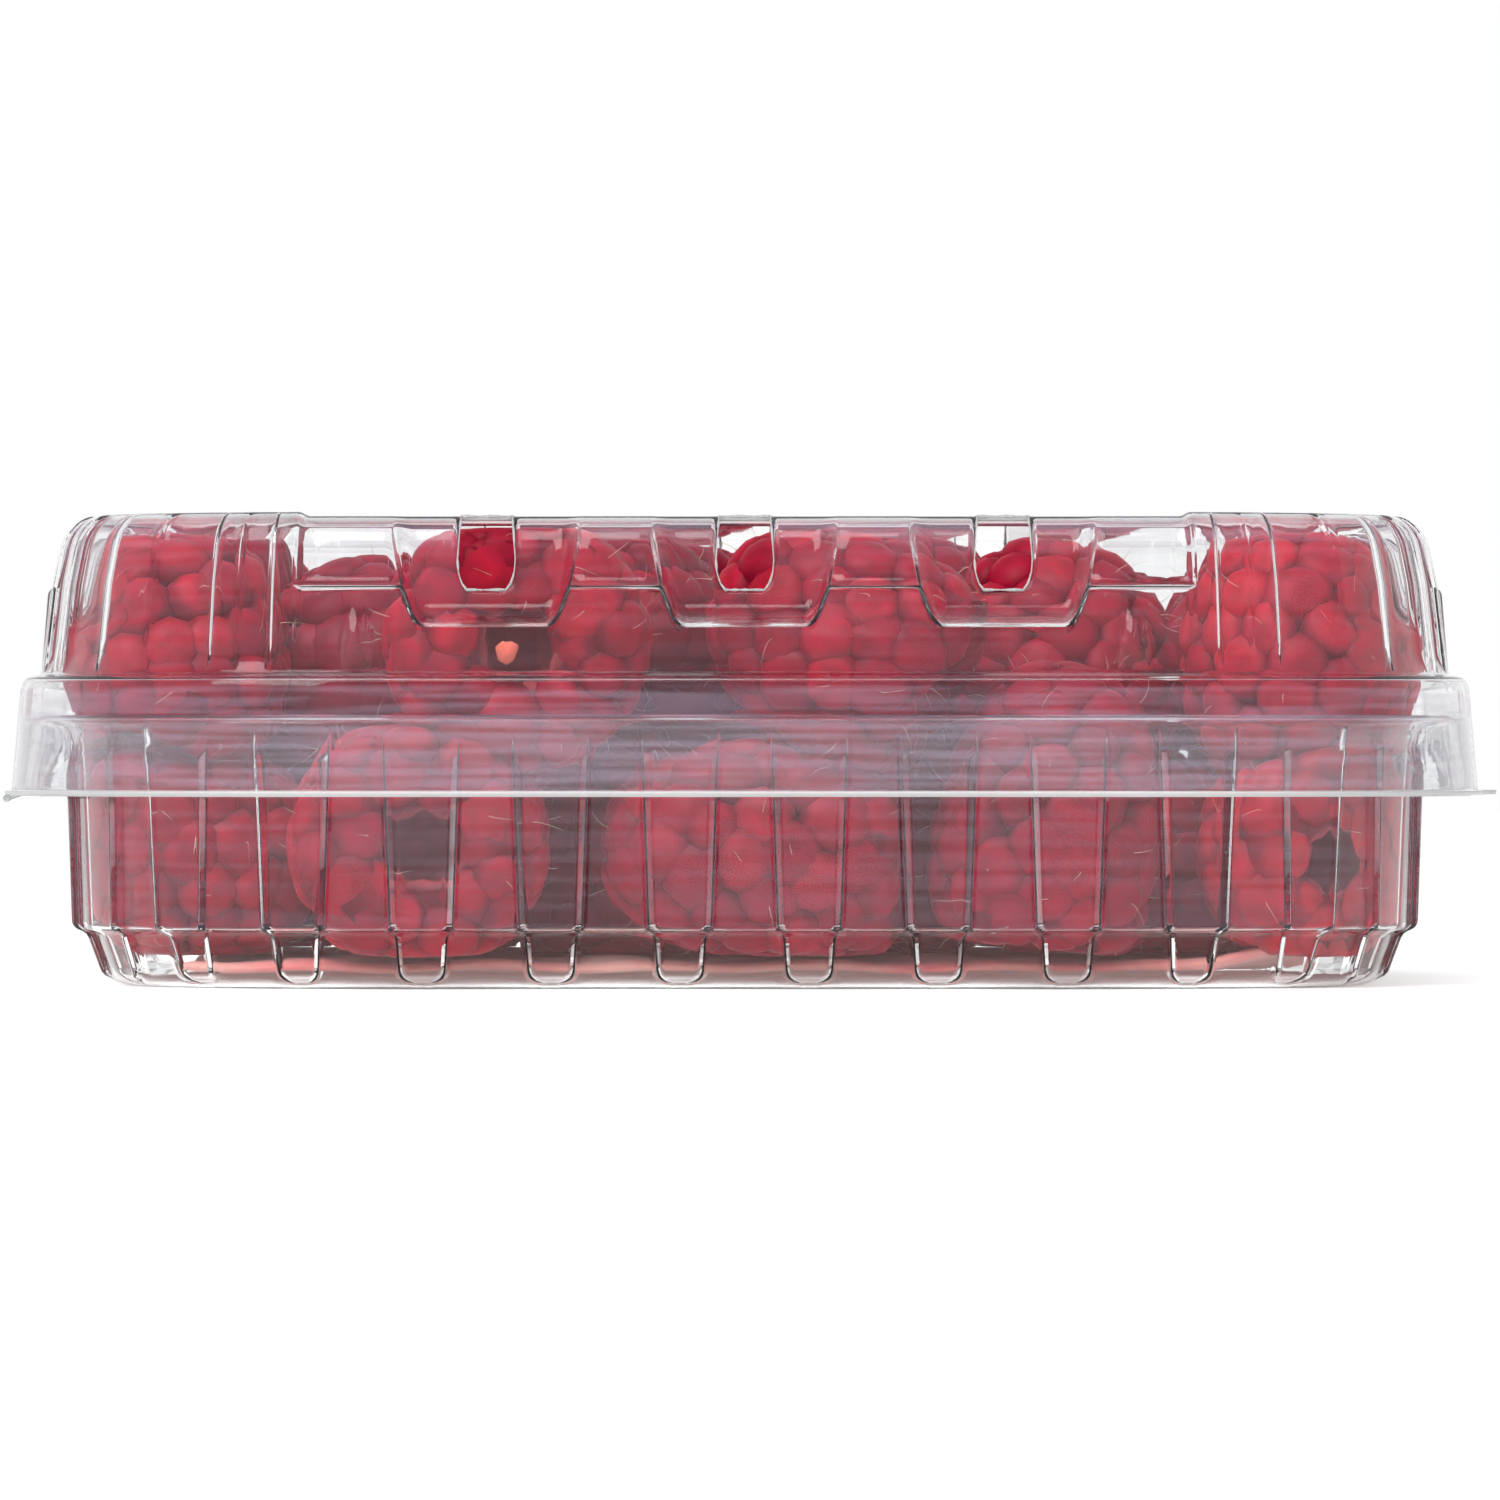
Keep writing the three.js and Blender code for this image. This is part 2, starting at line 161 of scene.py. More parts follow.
light = {
    "horizon": "#FFFFFF",
    "zenith": "#C9CBCC",
    "softboxWatts": 7.0,
    "softboxSize": 0.7,  # m
    "softboxPlace": (-0.35, -0.55, 0.95),
    "floor": "#F4F4F2",
    "floorGlow": 0.45,
    "floorReach": 2500.0,
    "floorDrop": 0.02,  # so that it doesn't share a plane with the pack's foot
    "wallBounces": 16,
}


def makeCamera():
    camera = bpy.data.objects.new("camera", bpy.data.cameras.new("camera"))
    camera.data.lens = view["lens"]
    camera.data.sensor_width = view["sensor"]
    camera.data.clip_end = 20
    camera.location = (view["aside"] * mm, -view["standBack"] * mm, view["eyeHeight"] * mm)
    camera.rotation_euler = (math.pi / 2, 0, 0)
    bpy.context.scene.collection.objects.link(camera)
    bpy.context.scene.camera = camera


def makeWorld():
    # white all round the horizon, a little greyer overhead, so that bent plastic shows its edges
    world = bpy.data.worlds.new("studio")
    world.use_nodes = True
    tree = world.node_tree
    tree.nodes.clear()
    direction = addNode(tree, "ShaderNodeTexCoord")
    parts = addNode(tree, "ShaderNodeSeparateXYZ", links={0: direction.outputs["Generated"]})
    ramp = addNode(tree, "ShaderNodeValToRGB", links={0: parts.outputs["Z"]})
    setRamp(ramp, [(0.25, light["horizon"]), (0.75, light["zenith"])])
    sky = addNode(tree, "ShaderNodeBackground", {"Strength": 1.0}, {"Color": ramp.outputs[0]})
    addNode(tree, "ShaderNodeOutputWorld", links={0: sky.outputs[0]})
    bpy.context.scene.world = world


def makeSoftbox():
    data = bpy.data.lights.new("softbox", "AREA")
    data.energy = light["softboxWatts"]
    data.size = light["softboxSize"]
    lamp = bpy.data.objects.new("softbox", data)
    lamp.location = light["softboxPlace"]
    # its face is turned to the pack
    aim = -np.array(light["softboxPlace"])
    flat = math.hypot(aim[0], aim[1])
    lamp.rotation_euler = (math.atan2(flat, -aim[2]), 0, math.atan2(-aim[0], aim[1]))
    bpy.context.scene.collection.objects.link(lamp)


def makeFloor():
    material, tree = newMaterial("matt_white_paper")
    shader = addNode(tree, "ShaderNodeBsdfPrincipled", {
        "Base Color": linearColour(light["floor"]),
        "Roughness": 0.9,
        "Emission Color": linearColour("#FFFFFF"),
        "Emission Strength": light["floorGlow"],
    })
    addNode(tree, "ShaderNodeOutputMaterial", links={0: shader.outputs[0]})
    corners = np.array([[-1.0, -1, 0], [1, -1, 0], [1, 1, 0], [-1, 1, 0]]) * light["floorReach"]
    corners[:, 2] = -light["floorDrop"]
    makeMesh("floor", corners, [np.array([[0, 1, 2, 3]])], [material])


def setRendering():
    # the pack is many clear walls deep, so light needs more bounces than usual to come through
    scene = bpy.context.scene
    scene.view_settings.view_transform = "Standard"
    scene.cycles.max_bounces = light["wallBounces"]
    scene.cycles.transmission_bounces = light["wallBounces"]
    scene.cycles.transparent_max_bounces = light["wallBounces"]
    scene.cycles.diffuse_bounces = 2
    scene.cycles.glossy_bounces = 3
    scene.cycles.caustics_reflective = False
    scene.cycles.caustics_refractive = True


makeCamera()
makeWorld()
makeSoftbox()
makeFloor()
setRendering()
print("camera, light and floor are set")


# The plan of the pack: every level is a rectangle of corner centres grown by a radius, and a
# place is the distance along it, anticlockwise from the front's middle.

plan = {
    "cornerX": 34.6,
    "cornerY": 26.0,
    "wallRadius": 24.0,  # corner radius along which places are measured
    "fluteCount": 36,
    "sheet": 0.36,  # thickness of the formed sheet
}
cornerX, cornerY = plan["cornerX"], plan["cornerY"]
cornerArc = math.pi / 2 * plan["wallRadius"]
quarter = cornerX + cornerArc + cornerY
perimeter = 4 * quarter
flutePitch = perimeter / plan["fluteCount"]


def folded(place):
    # a place brought into the first quarter, from the front's middle to the right's
    place = np.mod(place, perimeter)
    place = np.where(place > 2 * quarter, perimeter - place, place)
    return np.where(place > quarter, 2 * quarter - place, place)


def planPoints(place, radius, height, share=1.0):
    # corner-centre rectangle, shrunk to a share of itself, plus radius times the way out
    place = np.mod(place, perimeter)
    signX = np.where(place > 2 * quarter, -1, 1)
    half = np.where(place > 2 * quarter, perimeter - place, place)
    signY = np.where(half > quarter, -1, 1)
    along = folded(place)
    turn = np.clip((along - cornerX) / plan["wallRadius"], 0, math.pi / 2)
    x = np.minimum(along, cornerX) * share + radius * np.sin(turn)
    y = (np.maximum(along - cornerX - cornerArc, 0) - cornerY) * share - radius * np.cos(turn)
    return np.stack([x * signX, y * signY, height + 0 * x], axis=-1)


def spreadPlaces(knots, counts):
    # even steps between each two knots; a row of knots gives a row of places
    pieces = []
    for k, count in enumerate(counts):
        share = np.arange(count) / count
        pieces.append(knots[:, k:k + 1] + share * (knots[:, k + 1:k + 2] - knots[:, k:k + 1]))
    return np.concatenate([*pieces, knots[:, -1:]], axis=1)


def aroundFromQuarter(places):
    # the first quarter's places mirrored to the back and repeated for the left half
    halfWay = np.concatenate([places[:, :-1], (2 * quarter - places)[:, :0:-1]], axis=1)
    return np.concatenate([halfWay, halfWay + 2 * quarter], axis=1)


def filletPath(levels):
    # Each level holds a point's columns, its fillet, the points on it and those on the run after.
    # A corner C becomes the curve (1-u)^2 A + 2u(1-u) C + u^2 B between tangent points A and B,
    # which keep under half of the way to the next corners.
    points = np.array([level["at"] for level in levels], dtype=float)
    path = [points[0]]
    previousEnd = points[0]
    for k, level in enumerate(levels):
        if 0 < k < len(levels) - 1:
            before = points[k - 1] - points[k]
            after = points[k + 1] - points[k]
            lengths = [np.linalg.norm(before[:2]), np.linalg.norm(after[:2])]
            reach = min(level["fillet"], 0.48 * lengths[0], 0.48 * lengths[1])
            start = points[k] + before * reach / lengths[0]
            end = points[k] + after * reach / lengths[1]
            path += runBetween(previousEnd, start, levels[k - 1].get("run", 0))
            for u in np.linspace(0, 1, level["steps"]):
                path.append((1 - u) ** 2 * start + 2 * u * (1 - u) * points[k] + u ** 2 * end)
            previousEnd = end
    path += runBetween(previousEnd, points[-1], levels[-2].get("run", 0))
    path.append(points[-1])
    return np.array(path)


def runBetween(start, end, count):
    # so many points, evenly spaced between two
    return [start + (end - start) * (n + 1) / (count + 1) for n in range(count)]


def panelRows(place, height, radius):
    # a flat panel's rows, from its middle outwards: the plan shrunk to 0, 0.35 and 0.7 of itself
    return np.array([planPoints(place, 0 * place + grown, height, share)
                     for grown, share in ((0.0, 0.0), (4.0, 0.35), (radius, 0.7))])


def closedSheet(name, grid, materials, dropFaces=None, lookUp=False):
    # the first row of the grid is shrunk to a single point in the middle of the panel, which
    # looks down unless it is a lid's
    rows, places = grid.shape[:2]
    points = np.concatenate([grid[0, :1], grid[1:].reshape(-1, 3)])
    quads = ringFaces(rows - 1, places) + 1
    if dropFaces is not None:
        quads = quads[~dropFaces[1:]]
    quads = quads.reshape(-1, 4)
    here = np.arange(places)
    fan = np.stack([np.zeros(places, dtype=int), 1 + (here + 1) % places, 1 + here], axis=-1)
    if lookUp:
        fan, quads = fan[:, ::-1], quads[:, ::-1]
    return makeMesh(name, points, [fan, quads], materials)


def thicken(piece, thickness):
    # the drawn face is the outer one, and the wall goes inwards from it
    wall = piece.modifiers.new("wall", "SOLIDIFY")
    wall.thickness = thickness * mm
    wall.offset = -1
    wall.use_even_offset = False
    wall.material_offset_rim = 1


# Clear plastic

petLook = {
    "tint": "#FCFDFD",
    "ior": 1.33,  # PET has 1.57, but walls drawn with both their faces then glare too much
    "roughness": 0.035,  # of its dullest places
    "hazeAndPaintedReflection": "#CBBCD6",
    # share of each face under the lilac haze, by height in mm, partly real scuffs and partly painted
    # reflection: none on the foot, some on the walls, more on the skirts, and most on the shoulder and
    # the top edge
    "hazeAndReflectionTop": 41.0,
    "hazeAndReflectionSteps": [
        (0.0, 0.0), (4.6, 0.0), (5.4, 0.02), (15.8, 0.02), (16.6, 0.027), (22.6, 0.029), (23.2, 0.05),
        (25.3, 0.06), (25.8, 0.012), (36.5, 0.012), (38.8, 0.05), (39.55, 0.05), (39.7, 0.012),
        (39.82, 0.012), (39.95, 0.03), (40.5, 0.035)],
    "waveSize": 9.0,  # mm, slow dull and clear places that forming leaves
    "streakSize": 0.55,  # level marks where the sheet slid on the mould
    "streakStretch": 25.0,  # how much longer than high they are
    "streakRange": (0.4, 1.6),  # from the clearest to the dullest of them
    "cutEdge": "#F6F7F7",
    "cutGrit": 0.6,
}


def makeClearPet():
    # Clear PET sheet, thermoformed: glass-clear with sharp reflections that wander, because the
    # hot sheet stretched unevenly over the mould. A pale lilac haze with level streaks veils its
    # walls thinly, and its skirts and top edges more: partly fine scuffs, and partly a painted
    # reflection of the bright surroundings and the softbox.
    material, tree = newMaterial("thermoformed_clear_pet")
    where = addNode(tree, "ShaderNodeTexCoord")
    slow = addNode(tree, "ShaderNodeTexNoise", {"Scale": 1 / (petLook["waveSize"] * mm), "Detail": 0.0},
                   {"Vector": where.outputs["Object"]})
    rough = addNode(tree, "ShaderNodeMapRange", {
        "From Min": 0.3, "From Max": 0.7, "To Min": 0.0, "To Max": petLook["roughness"],
    }, {"Value": slow.outputs["Fac"]})
    squash = 1 / petLook["streakStretch"]
    flat = addNode(tree, "ShaderNodeMapping", {"Scale": (squash, squash, 1.0)},
                   {"Vector": where.outputs["Object"]})
    streak = addNode(tree, "ShaderNodeTexNoise", {"Scale": 1 / (petLook["streakSize"] * mm), "Detail": 0.0},
                     {"Vector": flat.outputs["Vector"]})
    clearest, dullest = petLook["streakRange"]
    level = addNode(tree, "ShaderNodeMapRange", {
        "From Min": 0.35, "From Max": 0.65, "To Min": clearest, "To Max": dullest,
    }, {"Value": streak.outputs["Fac"]})
    glass = addNode(tree, "ShaderNodeBsdfPrincipled", {
        "Base Color": linearColour(petLook["tint"]),
        "IOR": petLook["ior"],
        "Transmission Weight": 1.0,
    }, {"Roughness": rough.outputs["Result"]})
    high = addNode(tree, "ShaderNodeSeparateXYZ", links={0: where.outputs["Object"]})
    band = addNode(tree, "ShaderNodeMath", {"operation": "MULTIPLY", 1: 1 / (petLook["hazeAndReflectionTop"] * mm)},
                   {0: high.outputs["Z"]})
    hazeAndReflectionShare = addNode(tree, "ShaderNodeValToRGB", links={0: band.outputs[0]})
    setRamp(hazeAndReflectionShare, [(height / petLook["hazeAndReflectionTop"], "#000000") for height, _ in petLook["hazeAndReflectionSteps"]])
    for element, (_, share) in zip(hazeAndReflectionShare.color_ramp.elements, petLook["hazeAndReflectionSteps"]):
        element.color = (share, share, share, 1.0)
    veil = addNode(tree, "ShaderNodeMath", {"operation": "MULTIPLY"},
                   {0: hazeAndReflectionShare.outputs[0], 1: level.outputs["Result"]})
    # a pale lilac diffuse haze: partly scuffs, partly painted reflection of the bright surroundings
    hazeAndPaintedReflection = addNode(tree, "ShaderNodeBsdfDiffuse", {"Color": linearColour(petLook["hazeAndPaintedReflection"])})
    sheet = addNode(tree, "ShaderNodeMixShader", links={
        0: veil.outputs[0], 1: glass.outputs[0], 2: hazeAndPaintedReflection.outputs[0]})
    clear = addNode(tree, "ShaderNodeBsdfTransparent", {"Color": linearColour(petLook["tint"])})
    rays = addNode(tree, "ShaderNodeLightPath")
    mix = addNode(tree, "ShaderNodeMixShader", links={
        0: rays.outputs["Is Shadow Ray"], 1: sheet.outputs[0], 2: clear.outputs[0]})
    addNode(tree, "ShaderNodeOutputMaterial", links={0: mix.outputs[0]})
    return material


def makeCutEdge():
    # PET where the sheet was trimmed or punched: the cut crazes it, so it turns white and sparkles
    material, tree = newMaterial("trimmed_pet_edge")
    where = addNode(tree, "ShaderNodeTexCoord")
    grit = addNode(tree, "ShaderNodeTexNoise", {"Scale": 1 / (petLook["cutGrit"] * mm), "Detail": 2.0},
                   {"Vector": where.outputs["Object"]})
    bump = addNode(tree, "ShaderNodeBump", {"Strength": 0.8, "Distance": 0.15 * mm},
                   {"Height": grit.outputs["Fac"]})
    shader = addNode(tree, "ShaderNodeBsdfPrincipled", {
        "Base Color": linearColour(petLook["cutEdge"]),
        "IOR": petLook["ior"],
        "Roughness": 0.45,
        "Transmission Weight": 0.5,
    }, {"Normal": bump.outputs["Normal"]})
    addNode(tree, "ShaderNodeOutputMaterial", links={0: shader.outputs[0]})
    return material


clearPet = makeClearPet()
cutEdge = makeCutEdge()


# Snap dimples, pressed into both skirts at every corner so that the pack clicks shut

snap = {"middle": 20.0, "halfHeight": 1.3, "depth": 0.35, "halfTurn": 0.21, "edge": 0.05}


def snapDepth(place, height):
    # a round-bottomed groove, level, that fades out at both ends
    turn = (folded(place) - cornerX) / plan["wallRadius"] - math.pi / 4
    ends = smoothStep((snap["halfTurn"] - np.abs(turn)) / snap["edge"])
    across = np.clip(1 - ((height - snap["middle"]) / snap["halfHeight"]) ** 2, 0, 1)
    return snap["depth"] * ends * np.sqrt(across)


# The tub

tubShape = {
    "fluteDepth": 0.6,
    "fluteRise": 0.5,  # width of a flute's sloping side
    "fluteTop": 22.4,
    "tabHalf": 30.0,
    "tabReach": -63.9,
    "tabDrop": 0.4,  # so that it passes under the lid's lip
    "skirtFrom": 26.4,  # radius
    "lipFrom": 27.4,
    "plainRib": 2.7,  # a rib's half width where there are no flutes
    # r and z of each corner of the section, its fillet, and how many points it takes
    "levels": [
        {"at": (13.0, 0.0), "run": 2},
        {"at": (20.6, 0.0), "fillet": 1.7, "steps": 8, "run": 4},
        {"at": (22.3, 4.5), "fillet": 0.4, "steps": 3},
        {"at": (23.6, 5.05), "fillet": 0.6, "steps": 4, "run": 12},
        {"at": (24.2, 22.5), "fillet": 0.5, "steps": 4},
        {"at": (25.2, 22.9), "fillet": 0.4, "steps": 3},
        {"at": (26.5, 22.9), "fillet": 0.7, "steps": 5, "run": 10},
        {"at": (27.35, 16.35), "fillet": 0.4, "steps": 4},
        {"at": (28.1, 16.35)},
    ],
}


def ribHalfWidth(height):
    # ribs widen upwards, and end below in a squarish U: the width times (1 - fall^3)^(1/3)
    width = np.interp(height, [0.4, 4.5, 5.0, 22.0], [2.1, 2.4, 2.9, 3.5])
    fall = np.clip((2.0 - height) / 1.6, 0, 0.995)
    return width * (1 - fall ** 3) ** (1 / 3)


def makeTub():
    # The section is carried round the plan. Between the ribs the wall is sunk by the flute depth,
    # and the grid's places follow the ribs' leaning sides.
    path = filletPath(tubShape["levels"])
    radius, height = path[:, 0], path[:, 1]
    rows = np.arange(len(path))
    onWall = rows < np.argmax(height > tubShape["fluteTop"])
    onSkirt = (rows > np.argmax(height)) & (radius > tubShape["skirtFrom"])
    ribHalf = np.where(onWall, ribHalfWidth(height), tubShape["plainRib"])
    rise = tubShape["fluteRise"]
    sunkHalf = np.clip(flutePitch / 2 - ribHalf, 0, flutePitch / 2 - rise / 2 - 0.12)
    knots = np.stack([0 * sunkHalf, sunkHalf - rise / 2, sunkHalf + rise / 2,
                      0 * sunkHalf + flutePitch / 2], axis=1)
    side = spreadPlaces(knots, [3, 4, 3])
    cell = np.concatenate([-side[:, :0:-1], side[:, :-1]], axis=1)
    middles = np.arange(plan["fluteCount"]) * flutePitch
    place = (middles[None, :, None] + cell[:, None, :]).reshape(len(path), -1)
    near = np.abs(np.mod(place + flutePitch / 2, flutePitch) - flutePitch / 2)
    rib = smoothStep((near - sunkHalf[:, None]) / rise + 0.5)
    lift = smoothStep((height - 0.3) / 0.7) * smoothStep((tubShape["fluteTop"] - height) / 0.7 + 0.3)
    sunk = np.where(onWall, tubShape["fluteDepth"], 0)[:, None] * (1 - rib * lift[:, None])
    top = smoothStep((tubShape["fluteTop"] - height) / 1.1)[:, None]
    r = radius[:, None] - sunk * top
    r = r - np.where(onSkirt[:, None], snapDepth(place, height[:, None]), 0)
    grid = planPoints(place, r, height[:, None])
    # the lip reaches out to the hinge on the left end
    lip = smoothStep((radius - tubShape["lipFrom"]) / 0.7)[:, None] * onSkirt[:, None]
    lip = lip * (grid[..., 0] < -cornerX)
    hinge = lip * smoothStep((tubShape["tabHalf"] - np.abs(grid[..., 1])) / 1.5)
    grid[..., 0] += hinge * (tubShape["tabReach"] + 0.3 - grid[..., 0])
    grid[..., 2] -= hinge * tubShape["tabDrop"]
    grid = np.concatenate([panelRows(place[0], 0.0, 9.0), grid])
    tub = closedSheet("punnet_tub", grid, [clearPet, cutEdge])
    thicken(tub, plan["sheet"])
    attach(tub, "tub")
    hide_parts("tub")


hingeShape = {"x": -63.56, "z": 16.15, "radius": 0.33, "half": 30.0, "tip": 0.02, "sides": 12}


def makeHinge():
    # a thin rolled bead along the fold that joins both halves: circles along a line, pinched by
    # the square of a cosine, and closed by a tiny circle at each end
    sides = hingeShape["sides"]
    around = np.linspace(0, 2 * math.pi, sides, endpoint=False)
    along = np.linspace(-hingeShape["half"], hingeShape["half"], 41)
    pinch = hingeShape["radius"] * (1 - 0.12 * np.cos(along * 1.3) ** 2)
    along = np.concatenate([along[:1], along, along[-1:]])
    pinch = np.concatenate([[hingeShape["tip"]], pinch, [hingeShape["tip"]]])
    x = hingeShape["x"] + pinch[:, None] * np.cos(around)
    z = hingeShape["z"] + pinch[:, None] * np.sin(around)
    y = along[:, None] + 0 * x
    rows = len(along)
    points = np.stack([x, y, z], axis=-1).reshape(-1, 3)
    quads = ringFaces(rows, sides).reshape(-1, 4)
    ring = np.arange(sides)
    first = np.array([ring])
    last = np.array([(rows - 1) * sides + ring[::-1]])
    bead = makeMesh("hinge_bead", points, [quads[:, ::-1], first, last], [clearPet])
    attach(bead, "tub")


# The lid

lidShape = {
    "panel": 39.75,  # height of the sunk middle of the top
    "topTo": 20.4,  # radius in a pocket at which the top ends
    "skirtTop": 25.5,
    "lipFrom": 28.8,  # radius
    "rise": 2.4,  # width of a pocket's side, most of it the round inner corner
    "ventFoot": 33.3,
    "ventReach": 18.0,  # radius at which a slot ends on the top
    "burr": 0.11,
    "burrUneven": 0.45,
    "burrOverlap": 0.04,
    "lugMiddle": 32.7,  # place of the small half-round lug beside the corner
    "lugHalf": 1.45,
    "lugTop": 31.4,
    "lugDepth": 1.2,
    "cornerStart": cornerX + 3,
    "cornerRise": 0.8,
    "channelDepth": 0.5,
    "channelRise": 0.5,
    "channels": [(15.5, 1.25), (31.2, 2.75), (58.8, 2.75), (74.5, 1.25)],  # degrees, half width
    "tabReach": 65.95,
    "tabHalf": 13.0,
    "tabCorner": 2.0,
    # r and z on the wall between pockets, in a pocket and at a corner, then the pocket's half width
    "levels": [
        {"at": (12.0, 39.75, 12.0, 39.75, 12.0, 39.75, 6.9)},
        {"at": (14.0, 39.75, 14.0, 39.75, 14.0, 39.75, 6.9), "fillet": 0.3, "steps": 3},
        {"at": (15.0, 40.1, 15.0, 40.1, 15.0, 40.1, 6.9), "fillet": 0.4, "steps": 3, "run": 2},
        {"at": (21.9, 40.1, 19.9, 40.1, 22.6, 40.5, 6.9), "fillet": 1.1, "steps": 6},
        {"at": (23.6, 38.4, 21.6, 38.2, 24.4, 38.8, 6.8), "fillet": 1.2, "steps": 4, "run": 6},
        {"at": (24.6, 34.5, 22.9, 32.0, 25.3, 34.5, 6.0), "fillet": 0.5, "steps": 3},
        {"at": (25.6, 34.1, 25.75, 31.0, 25.35, 34.1, 5.9), "fillet": 1.1, "steps": 6, "run": 4},
        {"at": (26.2, 26.8, 26.2, 26.8, 26.2, 26.8, 5.9), "fillet": 0.35, "steps": 4},
        {"at": (27.6, 26.5, 27.6, 26.5, 27.6, 26.5, 5.9), "fillet": 0.4, "steps": 5},
        {"at": (28.0, 25.5, 28.0, 25.5, 28.0, 25.5, 5.9), "fillet": 0.3, "steps": 3, "run": 9},
        {"at": (28.75, 16.8, 28.75, 16.8, 28.75, 16.8, 5.9), "fillet": 0.35, "steps": 4},
        {"at": (29.3, 16.8, 29.3, 16.8, 29.3, 16.8, 5.9)},
    ],
}
pocketPitch = 2 * flutePitch
shortPocket = quarter - flutePitch


def ventHalfWidth(height, onTop):
    # bellied at a third of its height, narrow at its foot, parallel over the top
    half = np.interp(height, [33.3, 34.2, 35.2, 36.3, 40.1], [1.2, 2.0, 2.35, 2.45, 2.2])
    return np.where(onTop, 2.2, half)


def lidKnots(pocketHalf, vent):
    # the places where something begins or ends in the first quarter, and the steps up to each
    inner, outer = pocketHalf - lidShape["rise"] / 2, pocketHalf + lidShape["rise"] / 2
    rows = [(0, 0), (vent, 4), (inner, 5), (outer, 9),
            (pocketPitch - outer, 6), (pocketPitch - inner, 9), (pocketPitch - vent, 5),
            (pocketPitch + vent, 7), (pocketPitch + inner, 5), (pocketPitch + outer, 9),
            (lidShape["lugMiddle"] - lidShape["lugHalf"] - 0.1, 2),
            (lidShape["lugMiddle"] + lidShape["lugHalf"] + 0.1, 12)]
    start, step = lidShape["cornerStart"], lidShape["cornerRise"] / 2
    rows += [(start - step, 3), (start + step, 4)]
    edge = lidShape["channelRise"] / 2
    for (angle, half), gap in zip(lidShape["channels"], [2, 3, 6, 3]):
        middle = cornerX + math.radians(angle) * plan["wallRadius"]
        rows += [(middle - half - edge, gap), (middle - half + edge, 3),
                 (middle + half - edge, 4), (middle + half + edge, 3)]
    end = 2 * cornerX + cornerArc - start
    rows += [(end - step, 2), (end + step, 4), (shortPocket - outer, 6), (shortPocket - inner, 9),
             (shortPocket - vent, 5), (shortPocket + vent, 7), (shortPocket + inner, 5),
             (shortPocket + outer, 9), (quarter, 4)]
    knots = np.stack([0 * pocketHalf + place for place, _ in rows], axis=1)
    return knots, [count for _, count in rows[1:]]


def makeLid():
    # Three sections, of wall, pocket and corner, are blended by place and carried round the plan.
    path = filletPath(lidShape["levels"])
    rows = np.arange(len(path))
    pocketHalf = path[:, 6]
    onTop = rows < np.argmax(path[:, 2] > lidShape["topTo"])
    vent = ventHalfWidth(path[:, 3], onTop)
    knots, counts = lidKnots(pocketHalf, vent)
    place = aroundFromQuarter(spreadPlaces(knots, counts))
    s = folded(place)
    middles = np.array([0, pocketPitch, shortPocket])
    near = np.min(np.abs(s[..., None] - middles), axis=-1)
    # a pocket's side has a tight outer and a wide inner corner: 1 - (1 - t)^4 (1 + 4t)
    inwards = np.clip((pocketHalf[:, None] - near) / lidShape["rise"] + 0.5, 0, 1)
    pocket = 1 - (1 - inwards) ** 4 * (1 + 4 * inwards)
    fromCorner = np.abs(s - cornerX - cornerArc / 2)
    cornerHalf = cornerX + cornerArc / 2 - lidShape["cornerStart"]
    corner = smoothStep((cornerHalf - fromCorner) / lidShape["cornerRise"] + 0.5)
    r, z = [path[:, i, None] + pocket * (path[:, i + 2] - path[:, i])[:, None]
            + corner * (path[:, i + 4] - path[:, i])[:, None] for i in (0, 1)]
    onDome = smoothStep((path[:, 0] - 20.5) / 1.5) * smoothStep((path[:, 1] - 27.0) / 1.0)
    for angle, half in lidShape["channels"]:
        middle = cornerX + math.radians(angle) * plan["wallRadius"]
        channel = smoothStep((half - np.abs(s - middle)) / lidShape["channelRise"] + 0.5)
        r = r - lidShape["channelDepth"] * channel * onDome[:, None]
    across = (s - lidShape["lugMiddle"]) / lidShape["lugHalf"]
    above = np.maximum(z - lidShape["lugTop"] + lidShape["lugHalf"], 0) / lidShape["lugHalf"]
    r = r + lidShape["lugDepth"] * np.sqrt(np.clip(1 - across ** 2 - above ** 2, 0, 1)) * (z > 27.2)
    onSkirt = (path[:, 1] < lidShape["skirtTop"])[:, None]
    r = r - np.where(onSkirt, snapDepth(place, z), 0)
    grid = planPoints(place, r, z)
    # the lift tab: the lip drawn out at the middle of the right end
    lip = smoothStep((path[:, 0] - lidShape["lipFrom"]) / 0.45)[:, None] * onSkirt
    lip = lip * (grid[..., 0] > cornerX)
    tabCorner = lidShape["tabCorner"]
    bend = np.clip(np.abs(grid[..., 1]) - lidShape["tabHalf"] + tabCorner, 0, tabCorner) / tabCorner
    tab = lip * np.sqrt(np.clip(1 - bend ** 2, 0, 1)) * (np.abs(grid[..., 1]) < lidShape["tabHalf"] + 1)
    grid[..., 0] += tab * (lidShape["tabReach"] - grid[..., 0])
    grid = np.concatenate([panelRows(place[0], lidShape["panel"], 8.0), grid])
    # a slot takes out the faces between its edges, from its foot over the edge of the top
    nextPlace = np.roll(s, -1, axis=1)
    centre = np.min(np.abs(((s + nextPlace) / 2)[..., None] - middles), axis=-1)
    slot = (centre < vent[:, None]) & (np.minimum(z, np.roll(z, -1, axis=0)) > lidShape["ventFoot"])
    slot &= r > lidShape["ventReach"]
    drop = np.concatenate([np.zeros((3, place.shape[1]), dtype=bool), slot])[:-1]
    lid = closedSheet("punnet_lid", grid, [clearPet, cutEdge], drop, lookUp=True)
    thicken(lid, plan["sheet"])
    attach(lid, "lid")
    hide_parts("lid")
    makeBurrs(grid, drop)


